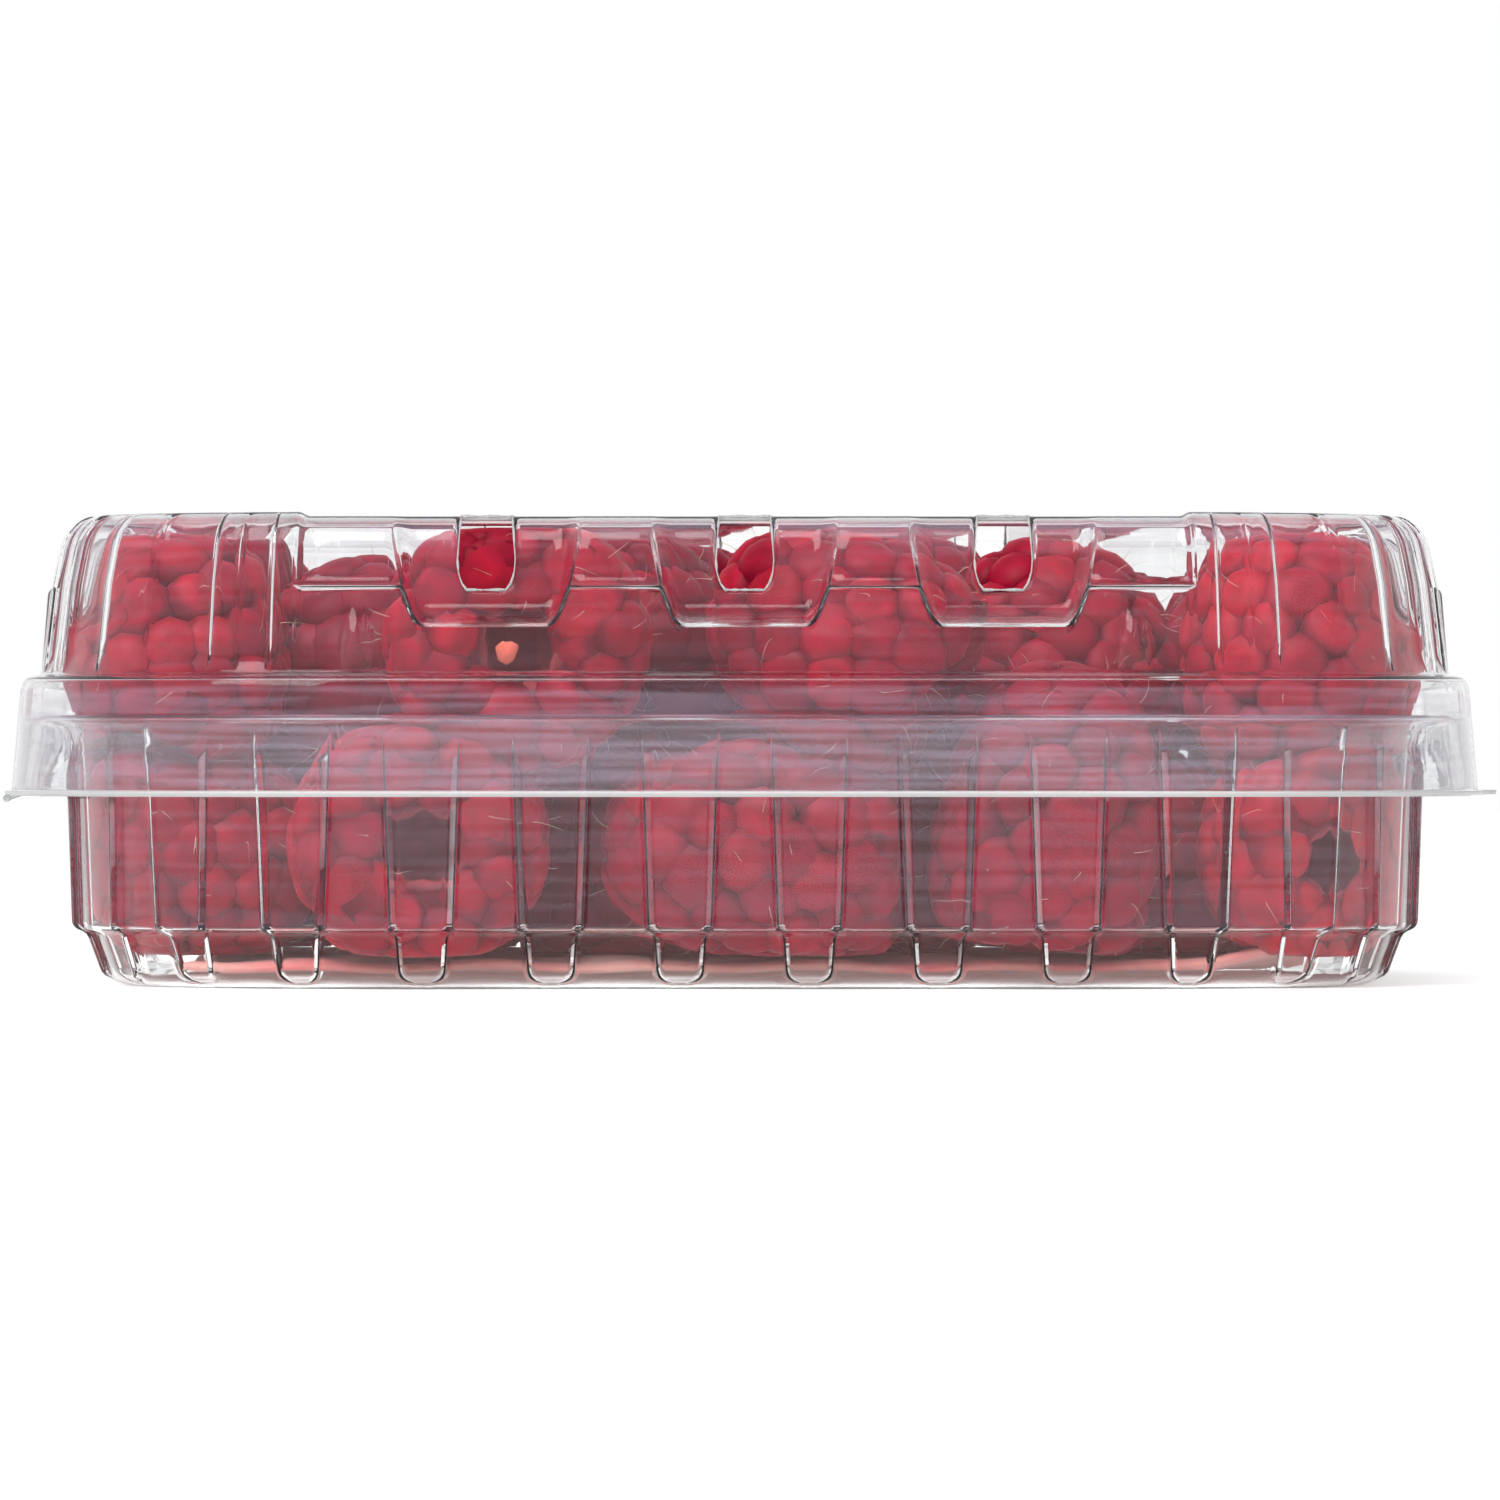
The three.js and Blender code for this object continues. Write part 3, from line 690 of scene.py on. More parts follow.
def makeBurrs(grid, drop):
    # Punching the slots leaves a fine ragged burr: a square rod along each edge between a face
    # that is cut out and one that stays. Its thickness at each end follows the sine of a fast
    # sum of the place there, so that rods that meet are equally thick.
    after, below = np.roll(drop, 1, axis=1), np.roll(drop, 1, axis=0)
    upright = np.argwhere(drop != after)
    level = np.argwhere(drop != below)
    places = drop.shape[1]
    start = np.concatenate([grid[upright[:, 0], upright[:, 1]], grid[level[:, 0], level[:, 1]]])
    end = np.concatenate([grid[upright[:, 0] + 1, upright[:, 1]],
                          grid[level[:, 0], (level[:, 1] + 1) % places]])
    along = (end - start) / np.linalg.norm(end - start, axis=1, keepdims=True)
    aside = np.cross(along, np.where(np.abs(along[:, 2:]) < 0.7, (0, 0, 1), (0.6, 0.8, 0)))
    aside /= np.linalg.norm(aside, axis=1, keepdims=True)
    over = np.cross(along, aside)
    points = []
    for middle, reach in ((start, -lidShape["burrOverlap"]), (end, lidShape["burrOverlap"])):
        ragged = np.sin(middle @ (37.1, 51.7, 23.3))[:, None]
        thick = lidShape["burr"] * (1 + lidShape["burrUneven"] * ragged)
        for turn in (0, 0.5, 1, 1.5):
            way = math.cos(turn * math.pi) * aside + math.sin(turn * math.pi) * over
            points.append(middle + thick * way + reach * along)
    points = np.stack(points, axis=1)
    rod = np.array([[0, 1, 5, 4], [1, 2, 6, 5], [2, 3, 7, 6], [3, 0, 4, 7], [3, 2, 1, 0], [4, 5, 6, 7]])
    faces = repeatedFaces([rod], len(points), 8)
    burrs = makeMesh("vent_burrs", points.reshape(-1, 3), faces, [cutEdge])
    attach(burrs, "lid")
    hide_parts("lid")


makeTub()
makeHinge()
makeLid()
print("clear plastic is formed")


# The absorbent pad

padShape = {
    "length": 96.0,
    "width": 78.0,
    "thick": 1.0,
    "foot": 0.85,
    "wave": 0.9,
    "curl": 2.4,  # how far the front right corner lifts
    "curlFrom": (36.0, 27.0),  # x and -y from which it lifts
    "curlRun": 12.0,
    "stepsX": 96,
    "stepsY": 78,
    "face": "#FFBBB0",
    "juice": "#F47C80",
    "stainSize": 14.0,
    "nubSize": 2.2,  # the emboss of the top layer
    "fibreSize": 0.35,  # far coarser than real fibre, so that it shows
}


def makePadMaterial():
    # Airlaid cellulose under a soft non-woven: matt and faintly nubbed, stained unevenly by juice
    material, tree = newMaterial("airlaid_absorbent_pad")
    where = addNode(tree, "ShaderNodeTexCoord")
    stain = addNode(tree, "ShaderNodeTexNoise", {"Scale": 1 / (padShape["stainSize"] * mm), "Detail": 4.0},
                    {"Vector": where.outputs["Object"]})
    nub = addNode(tree, "ShaderNodeTexVoronoi", {"Scale": 1 / (padShape["nubSize"] * mm)},
                  {"Vector": where.outputs["Object"]})
    fibre = addNode(tree, "ShaderNodeTexNoise", {"Scale": 1 / (padShape["fibreSize"] * mm), "Detail": 3.0},
                    {"Vector": where.outputs["Object"]})
    colour = addNode(tree, "ShaderNodeValToRGB", links={0: stain.outputs["Fac"]})
    setRamp(colour, [(0.36, padShape["face"]), (0.68, padShape["juice"])])
    height = addNode(tree, "ShaderNodeMath", {"operation": "MULTIPLY_ADD", 1: 0.35},
                     {0: fibre.outputs["Fac"], 2: nub.outputs["Distance"]})
    bump = addNode(tree, "ShaderNodeBump", {"Strength": 0.6, "Distance": 0.3 * mm},
                   {"Height": height.outputs[0]})
    shader = addNode(tree, "ShaderNodeBsdfPrincipled", {
        "Roughness": 0.85,
        "Sheen Weight": 0.3,
        "Sheen Roughness": 0.5,
        "Subsurface Weight": 0.2,
        "Subsurface Scale": 0.0015,
        "Subsurface Radius": (1.0, 0.4, 0.3),
    }, {"Base Color": colour.outputs[0], "Normal": bump.outputs["Normal"]})
    addNode(tree, "ShaderNodeOutputMaterial", links={0: shader.outputs[0]})
    return material


def makePad():
    # A flat sheet whose height is a sum of slow sines, with one corner curling up.
    # The underside is the same sheet moved down, and a round edge closes it.
    across, down = padShape["stepsX"], padShape["stepsY"]
    u, v = np.meshgrid(np.linspace(-0.5, 0.5, across + 1), np.linspace(-0.5, 0.5, down + 1),
                       indexing="ij")
    x, y = u * padShape["length"], v * padShape["width"]
    wave = np.sin(x / 4.1 + 0.6) * np.cos(y / 7 + 0.4) + 0.6 * np.sin(x / 2.3 + y / 5)
    lift = padShape["wave"] * (0.5 + 0.5 * wave / 1.6)
    curlX, curlY = padShape["curlFrom"]
    corner = (np.clip((x - curlX) / padShape["curlRun"], 0, 1)
              * np.clip((-y - curlY) / padShape["curlRun"], 0, 1))
    lift = lift + padShape["curl"] * smoothStep(corner)
    rim = np.minimum((0.5 - np.abs(u)) * padShape["length"], (0.5 - np.abs(v)) * padShape["width"])
    roundOff = np.sqrt(np.clip(1 - (1 - np.clip(rim / 0.5, 0, 1)) ** 2, 0, 1))
    half = padShape["thick"] / 2 * (0.35 + 0.65 * roundOff)
    middle = padShape["foot"] + padShape["thick"] / 2 + lift
    top = np.stack([x, y, middle + half], axis=-1).reshape(-1, 3)
    under = np.stack([x, y, middle - half], axis=-1).reshape(-1, 3)
    i, j = np.meshgrid(np.arange(across), np.arange(down), indexing="ij")
    a = (i * (down + 1) + j).ravel()
    quads = np.stack([a, a + down + 1, a + down + 2, a + 1], axis=-1)
    count = len(top)
    edge = np.concatenate([np.arange(across) * (down + 1),
                           across * (down + 1) + np.arange(down),
                           np.arange(across, 0, -1) * (down + 1) + down,
                           np.arange(down, 0, -1)])
    nextEdge = np.roll(edge, -1)
    sides = np.stack([edge, edge + count, nextEdge + count, nextEdge], axis=-1)
    pad = makeMesh("absorbent_pad", np.concatenate([top, under]),
                   [quads, quads[:, ::-1] + count, sides], [makePadMaterial()])
    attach(pad, "tub")
    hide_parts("pad")


makePad()
print("pad is laid")


# The raspberries

berryShape = {
    "drupeletArea": 18.5,  # mm2 of skin to a drupelet
    "overlap": 1.36,  # a drupelet's radius against that of its share of skin
    "sunk": 0.8,  # how deep its middle lies, against its radius
    "squareness": 2.5,  # 2 is a ball, and more is a flatter cushion
    "uneven": 0.1,  # how far its width and height may stray
    "sides": 10,
    "press": 1.6,  # mm that the berries beside a wall are pushed against it
    "pressFrom": (44.0, 29.0),  # x and y past which a berry is beside a wall
    "give": 1.1,  # mm over which skin yields to a wall
    "stray": 0.09,  # how far a drupelet's size may stray
    "strayByHollow": 0.22,  # and that of the nine round the hollow
    "strayAlong": 0.22,  # how far its share of skin may stray
    "strayRound": 0.1,  # radians that its turn may stray
    "mottleSize": 1.6,  # riper and paler places on a drupelet
    "ripeSpread": 0.2,  # how far a drupelet's tone strays from its berry's
    "hairLength": 1.9,
    "hairStray": 0.45,
    "hairBend": 0.9,
    "hairRadius": 0.034,
    "hairTaper": 0.7,
    "bare": 0.0,  # -1 leaves a hair on each drupelet, and 1 on none
    "skinDark": "#640820",
    "skinMid": "#A0082C",
    "skinBright": "#C01A30",
    # painted shade of the creases between drupelets
    "paintedCreaseShade": "#6C0822",
    "hollow": "#D96A72",
    # painted glow: colour of a faint emission in place of light that comes through whole berries
    "paintedGlow": "#B80E30",
    "flesh": "#E87462",
    "hair": "#E6C8B4",
}


# The front ones, each with its middle in mm, the way its tip points, its size, and its tone:
# below 0 is a deeper red and above 0 a lighter one
def frontBerry(middle, heading, pitch, radius, length, tone):
    x, y, z = middle
    return {"x": x, "y": y, "z": z, "heading": heading, "pitch": pitch,
            "radius": radius, "length": length, "tone": tone}


frontBerries = [
    frontBerry((-47.2, -30.5, 11.6), 215, 15, 9.6, 20, 0.0),
    frontBerry((-28.2, -37, 12.6), 98, 4, 10.7, 19, 0.2),
    frontBerry((0.3, -37.6, 11.6), 185, 3, 9.6, 24.5, 0.0),
    frontBerry((26.2, -37.8, 15.6), 20, 80, 9.4, 24, -0.1),
    frontBerry((46.9, -32, 11.9), 105, 8, 10, 20, 0.4),
    frontBerry((-48, -29, 29.2), 60, 62, 10.6, 21, 0.1),
    frontBerry((-19.8, -37, 30.0), 97, 8, 11, 18.5, 0.15),
    frontBerry((7.4, -37, 29.9), 165, 30, 10, 21, 0.0),
    frontBerry((45.8, -31, 29.2), 140, 70, 10.2, 21, 0.25),
]

# The middles of the others, row by row; the heap dips in two places
lowerZ, upperZ = 12.2, 30.0
heapRows = [
    (lowerZ, [(-47, -11), (-47, 9.5), (47, -12), (47, 9)]),
    (lowerZ, [(-45.5, 30), (-27, 36.5), (-7.5, 37), (11.5, 37), (29.5, 36.5), (46, 30)]),
    (26.6, [(-33, -18.5), (-31, 0.5), (-32, 19.5), (-30, 37)]),
    (28.1, [(27, -19), (26.5, -0.5), (27, 18.5), (30, 36.5)]),
    (upperZ, [(-47.5, -9.5), (-11, -17), (12, -16), (47, -11)]),
    (upperZ, [(-47.5, 10.5), (-8, 2.5), (13.5, 1.5), (47, 9)]),
    (upperZ, [(-46, 30), (-11, 21.5), (9, 20.5), (46, 29), (-6, 37.5), (13, 37)]),
    (lowerZ, [(-28, -18), (-10, -20), (12, -20), (33, -19), (-27, 3), (-8, 1), (11, 1), (29, 4)]),
    (lowerZ, [(-28, 20), (-9, 19), (10, 19), (28, 20)]),
]


def draw(n):
    # a repeatable draw from -1 to 1: the fraction of a wild sine
    wild = np.sin(np.asarray(n) * 12.9898 + 4.137) * 43758.5453
    return 2 * (wild - np.floor(wild)) - 1


# For each value of the others its middle, how far it may stray, and the number of its draw
heapShape = {
    "z": (0.0, 0.5, 0),  # above or below its row
    "heading": (0.0, 180.0, 1),
    "pitch": (35.0, 40.0, 2),
    "radius": (10.1, 0.5, 3),
    "length": (20.0, 1.5, 4),
    # a middle of -0.2 is painted shade, since the heap's berries lie in shade; the stray is their own tone
    "tone": (-0.2, 0.25, 4),  # the longer ones are the lighter ones
}


def heapBerries():
    # every value is its middle plus a seeded draw times how far it may stray
    placed = [(x, y, z) for z, middles in heapRows for x, y in middles]
    berries = []
    for i, (x, y, z) in enumerate(placed):
        berry = {name: middle + stray * float(draw(7 * i + number))
                 for name, (middle, stray, number) in heapShape.items()}
        berries.append({**berry, "x": x, "y": y, "z": z + berry["z"]})
    return berries


# Section of a berry from the lip of its hollow, round the foot, to the tip: shares of the
# radius and of the length
berrySection = np.array([
    (0.33, 0.12), (0.42, 0.03), (0.60, 0.0), (0.82, 0.04), (0.95, 0.15), (1.0, 0.32),
    (0.97, 0.50), (0.87, 0.68), (0.68, 0.85), (0.42, 0.96), (0.0, 1.0)])
hollowSection = np.array([(0.33, 0.12), (0.34, 0.2), (0.29, 0.38), (0.18, 0.54), (0.0, 0.62)])


def berryFrame(berry):
    # the tip's direction and two ways across it
    heading, pitch = math.radians(berry["heading"]), math.radians(berry["pitch"])
    level = math.cos(pitch)
    tip = np.array([math.cos(heading) * level, math.sin(heading) * level, math.sin(pitch)])
    across = np.cross(tip, (0, 0, 1)) if abs(tip[2]) < 0.95 else np.cross(tip, (0, 1, 0))
    across = across / np.linalg.norm(across)
    return tip, across, np.cross(tip, across)


def placeDrupelets(berry, seed):
    # Equal shares of skin along the section, turned by the golden angle from one to the next, give
    # the spiral packing; the normal is the section's tangent, smoothed and turned outwards.
    section = berrySection * (berry["radius"], berry["length"])
    fine = np.linspace(0, len(section) - 1, 400)
    curve = np.stack([np.interp(fine, np.arange(len(section)), section[:, k]) for k in (0, 1)], axis=1)
    step = np.diff(curve, axis=0)
    area = 2 * math.pi * (curve[:-1, 0] + step[:, 0] / 2) * np.hypot(step[:, 0], step[:, 1])
    total = np.concatenate([[0], np.cumsum(area)])
    count = int(round(total[-1] / berryShape["drupeletArea"]))
    number = np.arange(count)
    shift = 0.5 + berryShape["strayAlong"] * draw(seed + 3 * number)
    wanted = (number + shift) / count * total[-1]
    radius = np.interp(wanted, total, curve[:, 0])
    along = np.interp(wanted, total, curve[:, 1]) - 0.5 * berry["length"]
    tangent = np.gradient(curve, axis=0)
    tangent = np.stack([np.interp(wanted, total, np.convolve(tangent[:, k], np.ones(31) / 31, "same"))
                        for k in (0, 1)], axis=1)
    tangent /= np.linalg.norm(tangent, axis=1, keepdims=True)
    goldenAngle = math.pi * (3 - math.sqrt(5))
    angle = number * goldenAngle + berryShape["strayRound"] * draw(seed + 5 * number + 1)
    tip, across, over = berryFrame(berry)
    outward = np.cos(angle)[:, None] * across + np.sin(angle)[:, None] * over
    around = -np.sin(angle)[:, None] * across + np.cos(angle)[:, None] * over
    normal = tangent[:, 1:] * outward - tangent[:, :1] * tip
    stray = np.where(number < 9, berryShape["strayByHollow"], berryShape["stray"])
    even = math.sqrt(total[-1] / count / math.pi) * berryShape["overlap"]
    size = even * (1 + stray * draw(seed + 7 * number + 2))
    middle = np.array([berry["x"], berry["y"], berry["z"]])
    onSkin = middle + outward * radius[:, None] + along[:, None] * tip
    centre = onSkin - normal * (berryShape["sunk"] * size)[:, None]
    return centre, normal, around, size


def drupeletTemplate():
    # A cushion on its own middle: rings at these angles from the top, with a point at each end.
    # Each point of a ball is divided by (sin^n + cos^n)^(1/n), which squares the ball's outline.
    polar = np.radians([20, 36, 50, 95])
    power = berryShape["squareness"]
    reach = (np.sin(polar) ** power + np.abs(np.cos(polar)) ** power) ** (-1 / power)
    sides = berryShape["sides"]
    turn = np.linspace(0, 2 * math.pi, sides, endpoint=False)
    wide, high = (np.sin(polar) * reach)[:, None], (np.cos(polar) * reach)[:, None]
    rings = np.stack([wide * np.cos(turn), wide * np.sin(turn), high + 0 * turn], axis=-1).reshape(-1, 3)
    points = np.concatenate([[[0, 0, 1]], rings, [[0, 0, -0.4]]])
    return points, poledFaces(len(polar), sides, firstOnTop=True)


# What the formed walls leave free: the highest radius at each height
roomHeights = [0.9, 2.7, 4.5, 5.3, 22.0, 23.4, 26.5, 30.4, 31.4, 38.0, 39.3]
roomRadii = [18.6, 20.4, 21.0, 22.2, 22.9, 23.4, 24.5, 24.5, 22.2, 20.9, 19.6]
roomFloor, roomTop = 2.6, 39.3


def eased(value, limit):
    # Close to its limit a value grows ever more slowly: limit - give * e^(-(value - start) / give)
    # past the start, which lies one give before the limit. The order of all values is kept.
    give = berryShape["give"]
    past = np.maximum(value - limit + give, 0)
    return np.where(past > 0, limit - give * np.exp(-past / give), value)


def heldInside(points):
    # A point near or past a wall is eased to its inner side, so that a berry flattens there.
    points = points.copy()
    points[:, 2] = -eased(-eased(points[:, 2], roomTop), -roomFloor)
    limit = np.interp(points[:, 2], roomHeights, roomRadii)
    beyond = np.maximum(np.abs(points[:, :2]) - (cornerX, cornerY), 0)
    radius = np.hypot(beyond[:, 0], beyond[:, 1])
    share = eased(radius, limit) / np.maximum(radius, 1e-6)
    share = np.where(radius > 0, share, 1)
    inner = np.minimum(np.abs(points[:, :2]), (cornerX, cornerY))
    points[:, :2] = np.sign(points[:, :2]) * (inner + beyond * share[:, None])
    return points


def mixColours(first, second, share):
    # one linear colour for each share, from the first at 0 to the second at 1
    share = np.clip(share, 0, 1)[:, None]
    return np.array(linearColour(first)) * (1 - share) + np.array(linearColour(second)) * share


def makeBerryMaterial():
    # Raspberry skin: thin, tight and juicy, so light sinks in and comes back red. A fine bloom of
    # hairs softens the gloss, and the creases between drupelets carry painted shade. A faint painted
    # glow, an emission, stands in for the light that comes through whole berries and reddens the
    # gaps of the heap.
    material, tree = newMaterial("raspberry_skin")
    where = addNode(tree, "ShaderNodeTexCoord")
    tint = addNode(tree, "ShaderNodeVertexColor", {"layer_name": "skin"})
    mottle = addNode(tree, "ShaderNodeTexNoise", {
        "Scale": 1 / (berryShape["mottleSize"] * mm), "Detail": 1.0,
    }, {"Vector": where.outputs["Object"]})
    shade = addNode(tree, "ShaderNodeValToRGB", links={0: mottle.outputs["Fac"]})
    setRamp(shade, [(0.3, "#C8C8C8"), (0.7, "#FFFFFF")])
    colour = addNode(tree, "ShaderNodeMix", {"data_type": "RGBA", "blend_type": "MULTIPLY", 0: 0.8},
                     {6: tint.outputs["Color"], 7: shade.outputs[0]})
    shader = addNode(tree, "ShaderNodeBsdfPrincipled", {
        "Roughness": 0.42,
        "IOR": 1.35,
        "Specular IOR Level": 0.18,
        "Subsurface Weight": 0.35,
        "Subsurface Radius": (1.0, 0.22, 0.16),
        "Subsurface Scale": 0.0012,
        # a faint painted glow in place of light that comes through whole berries
        "Emission Color": linearColour(berryShape["paintedGlow"]),
        "Emission Strength": 0.05,
    }, {"Base Color": colour.outputs[2]})
    addNode(tree, "ShaderNodeOutputMaterial", links={0: shader.outputs[0]})
    return material


def makeHairMaterial():
    # The dried styles of the flower: pale, wiry and half clear
    material, tree = newMaterial("dried_flower_style")
    shader = addNode(tree, "ShaderNodeBsdfPrincipled", {
        "Base Color": linearColour(berryShape["hair"]),
        "Roughness": 0.5,
        "Subsurface Weight": 0.3,
        "Subsurface Scale": 0.0002,
    })
    addNode(tree, "ShaderNodeOutputMaterial", links={0: shader.outputs[0]})
    return material


def makeDrupelets(name, berries, seeds, material):
    # The cushion is laid along each drupelet's own three directions and scaled to its size. Its
    # top has the tone of that drupelet, with painted shade in the heap's hidden berries, and below
    # 0.6 of its height it turns to the painted crease shade.
    # What comes back is where the hairs grow.
    dome, groups = drupeletTemplate()
    points, colours, hairs = [], [], []
    for berry, seed in zip(berries, seeds):
        centre, normal, around, size = placeDrupelets(berry, seed)
        beside = np.cross(normal, around)
        number = np.arange(len(centre))
        wide = (1 + berryShape["uneven"] * draw(seed + 23 * number))[:, None, None]
        tall = (1 + berryShape["uneven"] * draw(seed + 29 * number))[:, None, None]
        spread = (dome[None, :, :1] * wide * around[:, None] + dome[None, :, 1:2] * tall * beside[:, None]
                  + dome[None, :, 2:] * normal[:, None])
        points.append((centre[:, None] + spread * size[:, None, None]).reshape(-1, 3))
        # each drupelet's tone: its berry's own, with painted shade for the heap's berries, and a random
        # stray
        toneAndShade = 0.5 + berry["tone"] + berryShape["ripeSpread"] * draw(seed + 11 * number)
        skin = np.where((toneAndShade > 0.5)[:, None],
                        mixColours(berryShape["skinMid"], berryShape["skinBright"], 2 * toneAndShade - 1),
                        mixColours(berryShape["skinDark"], berryShape["skinMid"], 0.45 + toneAndShade * 1.1))
        paintedCreaseShade = np.array(linearColour(berryShape["paintedCreaseShade"]))
        # painted shade: below 0.6 of its height a drupelet turns to the crease shade colour
        share = smoothStep((dome[:, 2] - 0.6) / 0.2)[None, :, None]
        colours.append((paintedCreaseShade * (1 - share) + skin[:, None] * share).reshape(-1, 4))
        hairy = draw(seed + 31 * number) > berryShape["bare"]
        hairs.append(((centre + normal * size[:, None])[hairy], normal[hairy], around[hairy], seed))
    points = np.concatenate(points)
    faces = repeatedFaces(groups, len(points) // len(dome), len(dome))
    piece = makeMesh(name, heldInside(points), faces, [material])
    paintPoints(piece, "skin", np.concatenate(colours))
    finishFruit(piece)
    return hairs


def finishFruit(piece):
    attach(piece, "tub")
    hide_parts("raspberries")


thimbleShape = {
    "sides": 28,
    "narrowed": 0.84,  # its outside against the berry's own section
    "shortened": 0.9,
    "dimple": 0.09,
}


def makeThimbles(name, berries, seeds, material):
    # Under its drupelets each berry is a thimble: the section drawn in a little, then its hollow,
    # whose wall is dimpled in rows by the drupelets' inner ends.
    sides = thimbleShape["sides"]
    turn = np.linspace(0, 2 * math.pi, sides, endpoint=False)
    outer = berrySection[::-1]
    section = np.concatenate([outer, hollowSection[1:]])
    drawn = np.concatenate([np.full(len(outer), thimbleShape["narrowed"]),
                            np.full(len(hollowSection) - 1, 1.0)])
    inside = np.concatenate([np.zeros(len(outer) - 1), np.ones(len(hollowSection))])
    points, colours = [], []
    for berry, seed in zip(berries, seeds):
        radius = section[:, 0] * drawn * berry["radius"]
        along = (section[:, 1] - 0.5) * np.where(inside > 0, 1, thimbleShape["shortened"]) * berry["length"]
        row = np.arange(len(section))[:, None]
        ripple = np.sin(7 * turn[None] + 2.4 * row + seed)
        dimple = 1 + thimbleShape["dimple"] * inside[:, None] * ripple
        tip, across, over = berryFrame(berry)
        ring = np.cos(turn)[:, None] * across + np.sin(turn)[:, None] * over
        body = (radius[:, None] * dimple)[..., None] * ring[None] + along[:, None, None] * tip
        points.append(poledPoints(body + (berry["x"], berry["y"], berry["z"])))
        # painted shade: the hollow's lining turns from its pale lip colour to the mid skin red deeper in
        deep = np.clip((section[:, 1] - 0.05) / 0.5, 0, 1)
        lining = mixColours(berryShape["hollow"], berryShape["skinMid"], 0.2 + 0.9 * deep)
        # painted shade: the outside, seen only in the gaps between drupelets, is near the dark skin red
        skin = mixColours(berryShape["skinDark"], berryShape["skinMid"], 0.15 + 0 * deep)
        shade = np.where(inside[:, None] > 0, lining, skin)
        colours.append(np.repeat(shade, [1] + [sides] * (len(section) - 2) + [1], axis=0))
    groups = poledFaces(len(section) - 2, sides, firstOnTop=True)
    faces = repeatedFaces(groups, len(berries), len(points[0]))
    piece = makeMesh(name, heldInside(np.concatenate(points)), faces, [material])
    paintPoints(piece, "skin", np.concatenate(colours))
    finishFruit(piece)


def makeHairs(name, roots, material):
    # Each hair is a three-sided tube on a bent line: root + normal * h + sideways * h^2
    share = np.linspace(0, 1, 4)
    turn = np.arange(3) * 2 * math.pi / 3
    points = []
    for root, normal, around, seed in roots:
        number = np.arange(len(root))
        length = berryShape["hairLength"] * (1 + berryShape["hairStray"] * draw(seed + 13 * number))
        beside = np.cross(normal, around)
        bend = berryShape["hairBend"] * (draw(seed + 17 * number)[:, None] * around
                                         + draw(seed + 19 * number)[:, None] * beside)
        middle = (root[:, None] + normal[:, None] * (length[:, None] * share)[..., None] * 0.8
                  + bend[:, None] * (length[:, None] * share ** 2)[..., None])
        thick = berryShape["hairRadius"] * (1 - berryShape["hairTaper"] * share)
        ring = np.cos(turn)[:, None, None] * around + np.sin(turn)[:, None, None] * beside
        tube = middle[:, :, None] + thick[None, :, None, None] * np.moveaxis(ring, 0, 1)[:, None]
        points.append(tube.reshape(-1, 3))
    points = np.concatenate(points)
    each = len(share) * 3
    quads = ringFaces(len(share), 3).reshape(-1, 4)
    ends = np.array([[2, 1, 0], [each - 3, each - 2, each - 1]])
    faces = repeatedFaces([quads, ends], len(points) // each, each)
    finishFruit(makeMesh(name, heldInside(points), faces, [material]))


coreShape = {"foot": 4.0, "top": 24.0, "radius": 1.0, "share": 0.78, "places": 96, "rows": 9}


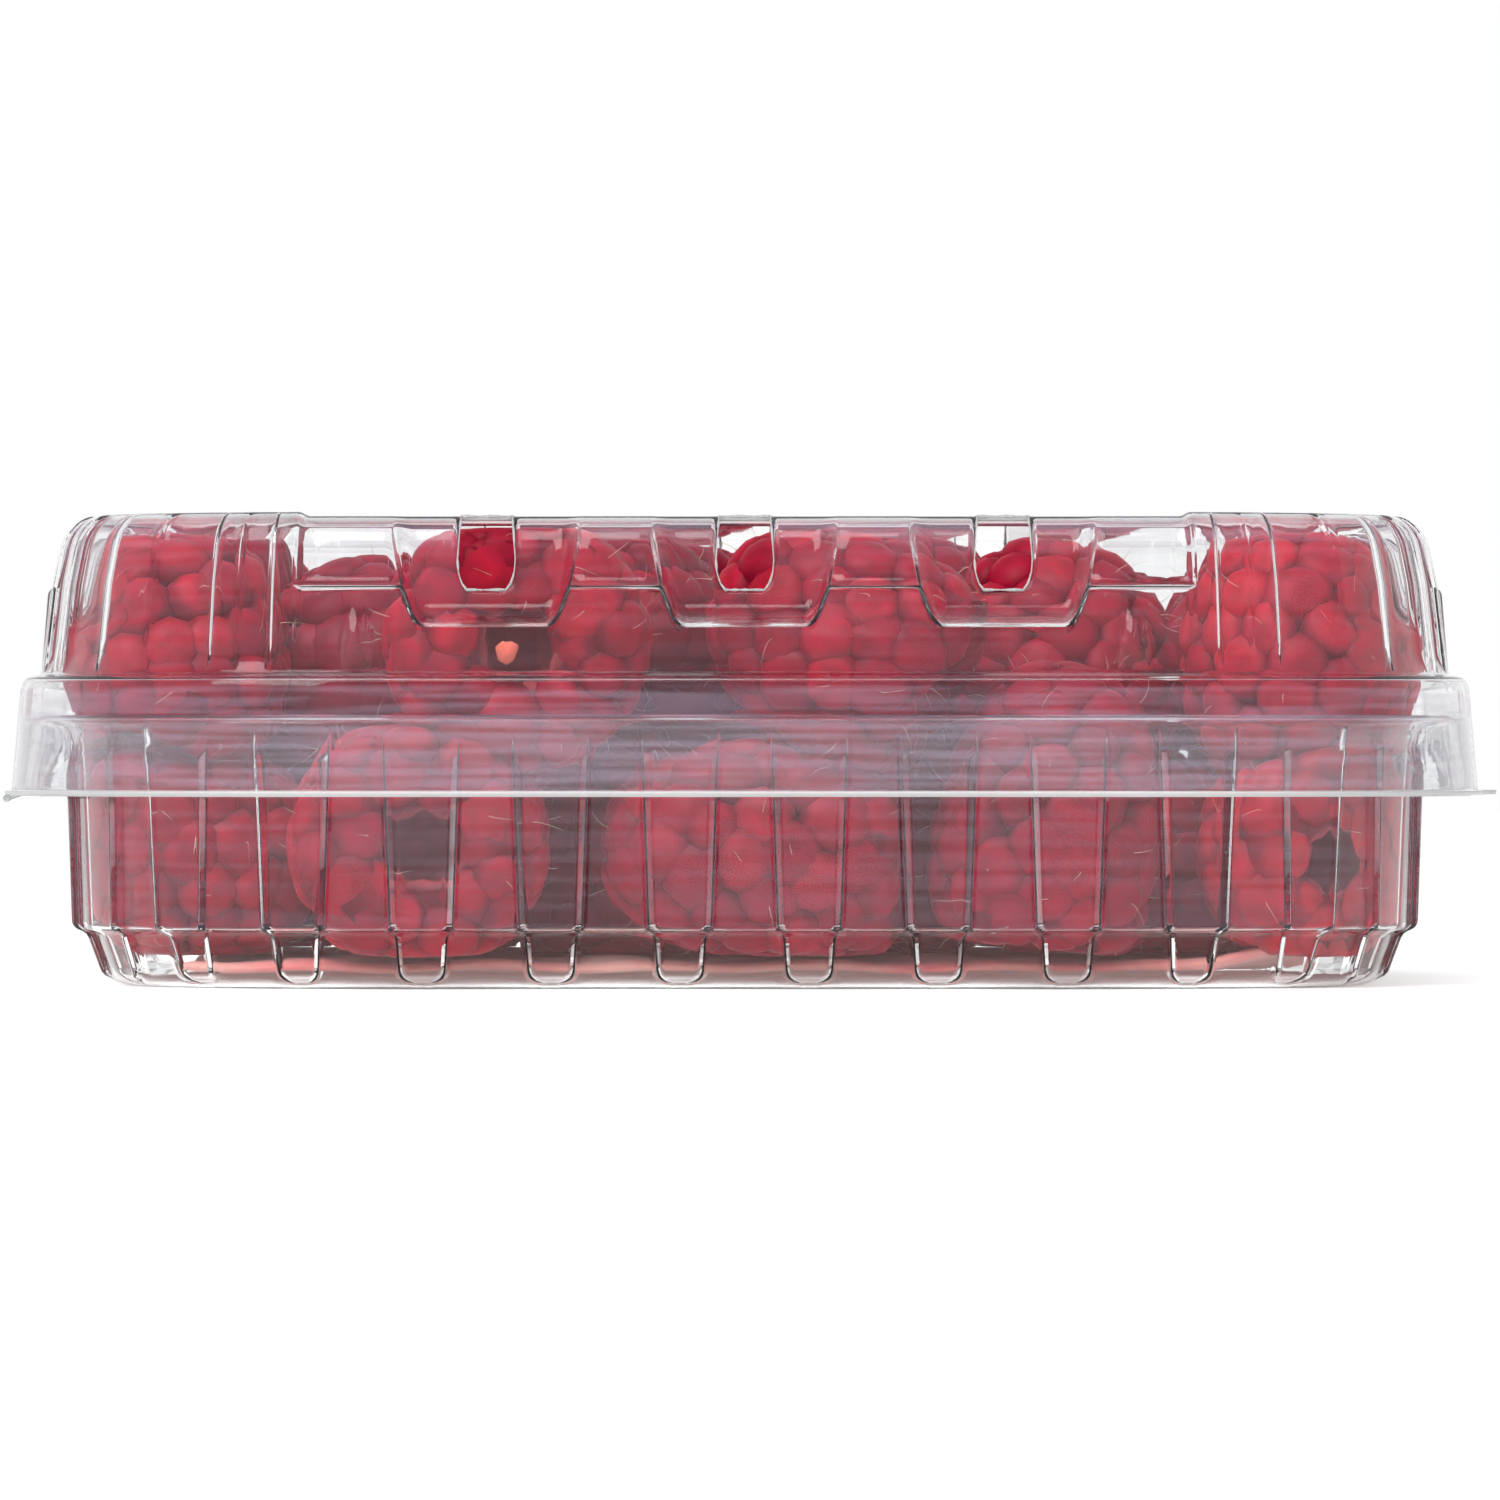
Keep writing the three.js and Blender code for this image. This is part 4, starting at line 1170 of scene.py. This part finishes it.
def makeHeapCore(material):
    # A rounded slab of crushed fruit in the middle of the heap, which closes its gaps: over half
    # a turn its height follows the cosine, and the plan's size a root of the sine.
    turn = np.linspace(0, math.pi, coreShape["rows"])
    height = coreShape["foot"] + (coreShape["top"] - coreShape["foot"]) * (1 - np.cos(turn)) / 2
    radius = coreShape["radius"] * np.sin(turn)
    place = np.arange(coreShape["places"]) * perimeter / coreShape["places"]
    share = coreShape["share"] * np.sin(turn) ** 0.4
    share[0] = share[-1] = 0.0
    grid = np.stack([planPoints(place, r, h, s) for r, h, s in zip(radius, height, share)])
    points = poledPoints(grid)
    piece = makeMesh("heap_core", points, poledFaces(len(turn) - 2, len(place)), [material])
    paintPoints(piece, "skin", np.tile(linearColour(berryShape["skinMid"]), (len(points), 1)))
    finishFruit(piece)


fleckShape = {
    "middle": (-20.1, -49.4, 28.0),
    "size": (1.15, 0.4, 1.4),  # half its width and depth, and its height above its middle
    "taper": (0.65, 0.6),  # share of the width at its middle, and what is added up to its top
    "rag": 0.13,
}


def makeFleck(material):
    # a torn bit of flesh, wedge-shaped, that clings inside the open berry by the first slot: a
    # cushion narrowed downwards, with each point moved by the sine of its other coordinates
    dome, faces = drupeletTemplate()
    wedge = dome * fleckShape["size"]
    atMiddle, added = fleckShape["taper"]
    wedge[:, 0] *= atMiddle + added * dome[:, 2]
    wedge += fleckShape["rag"] * np.sin(9 * dome[:, [2, 0, 1]] + (0.4, 1.9, 3.1))
    piece = makeMesh("flesh_fleck", wedge + fleckShape["middle"], faces, [material])
    paintPoints(piece, "skin", np.tile(linearColour(berryShape["flesh"]), (len(wedge), 1)))
    finishFruit(piece)


def pressed(berry):
    # a berry beside a wall moves a little against it
    far = np.array([berry["x"], berry["y"]]) / berryShape["pressFrom"]
    push = np.where(np.abs(far) > 1, np.sign(far) * berryShape["press"], 0)
    return {**berry, "x": berry["x"] + float(push[0]), "y": berry["y"] + float(push[1])}


def makeRaspberries():
    berries = [pressed(berry) for berry in frontBerries + heapBerries()]
    seeds = [101.0 * (n + 1) for n in range(len(berries))]
    skin = makeBerryMaterial()
    lower = [n for n, berry in enumerate(berries) if berry["z"] < 20]
    upper = [n for n, berry in enumerate(berries) if berry["z"] >= 20]
    roots = []
    for name, chosen in (("berries_lower", lower), ("berries_upper", upper)):
        roots += makeDrupelets(name, [berries[n] for n in chosen], [seeds[n] for n in chosen], skin)
    makeThimbles("berry_thimbles", berries, seeds, skin)
    makeHairs("berry_hairs", roots, makeHairMaterial())
    makeHeapCore(skin)
    makeFleck(skin)


makeRaspberries()
print("raspberries are heaped")
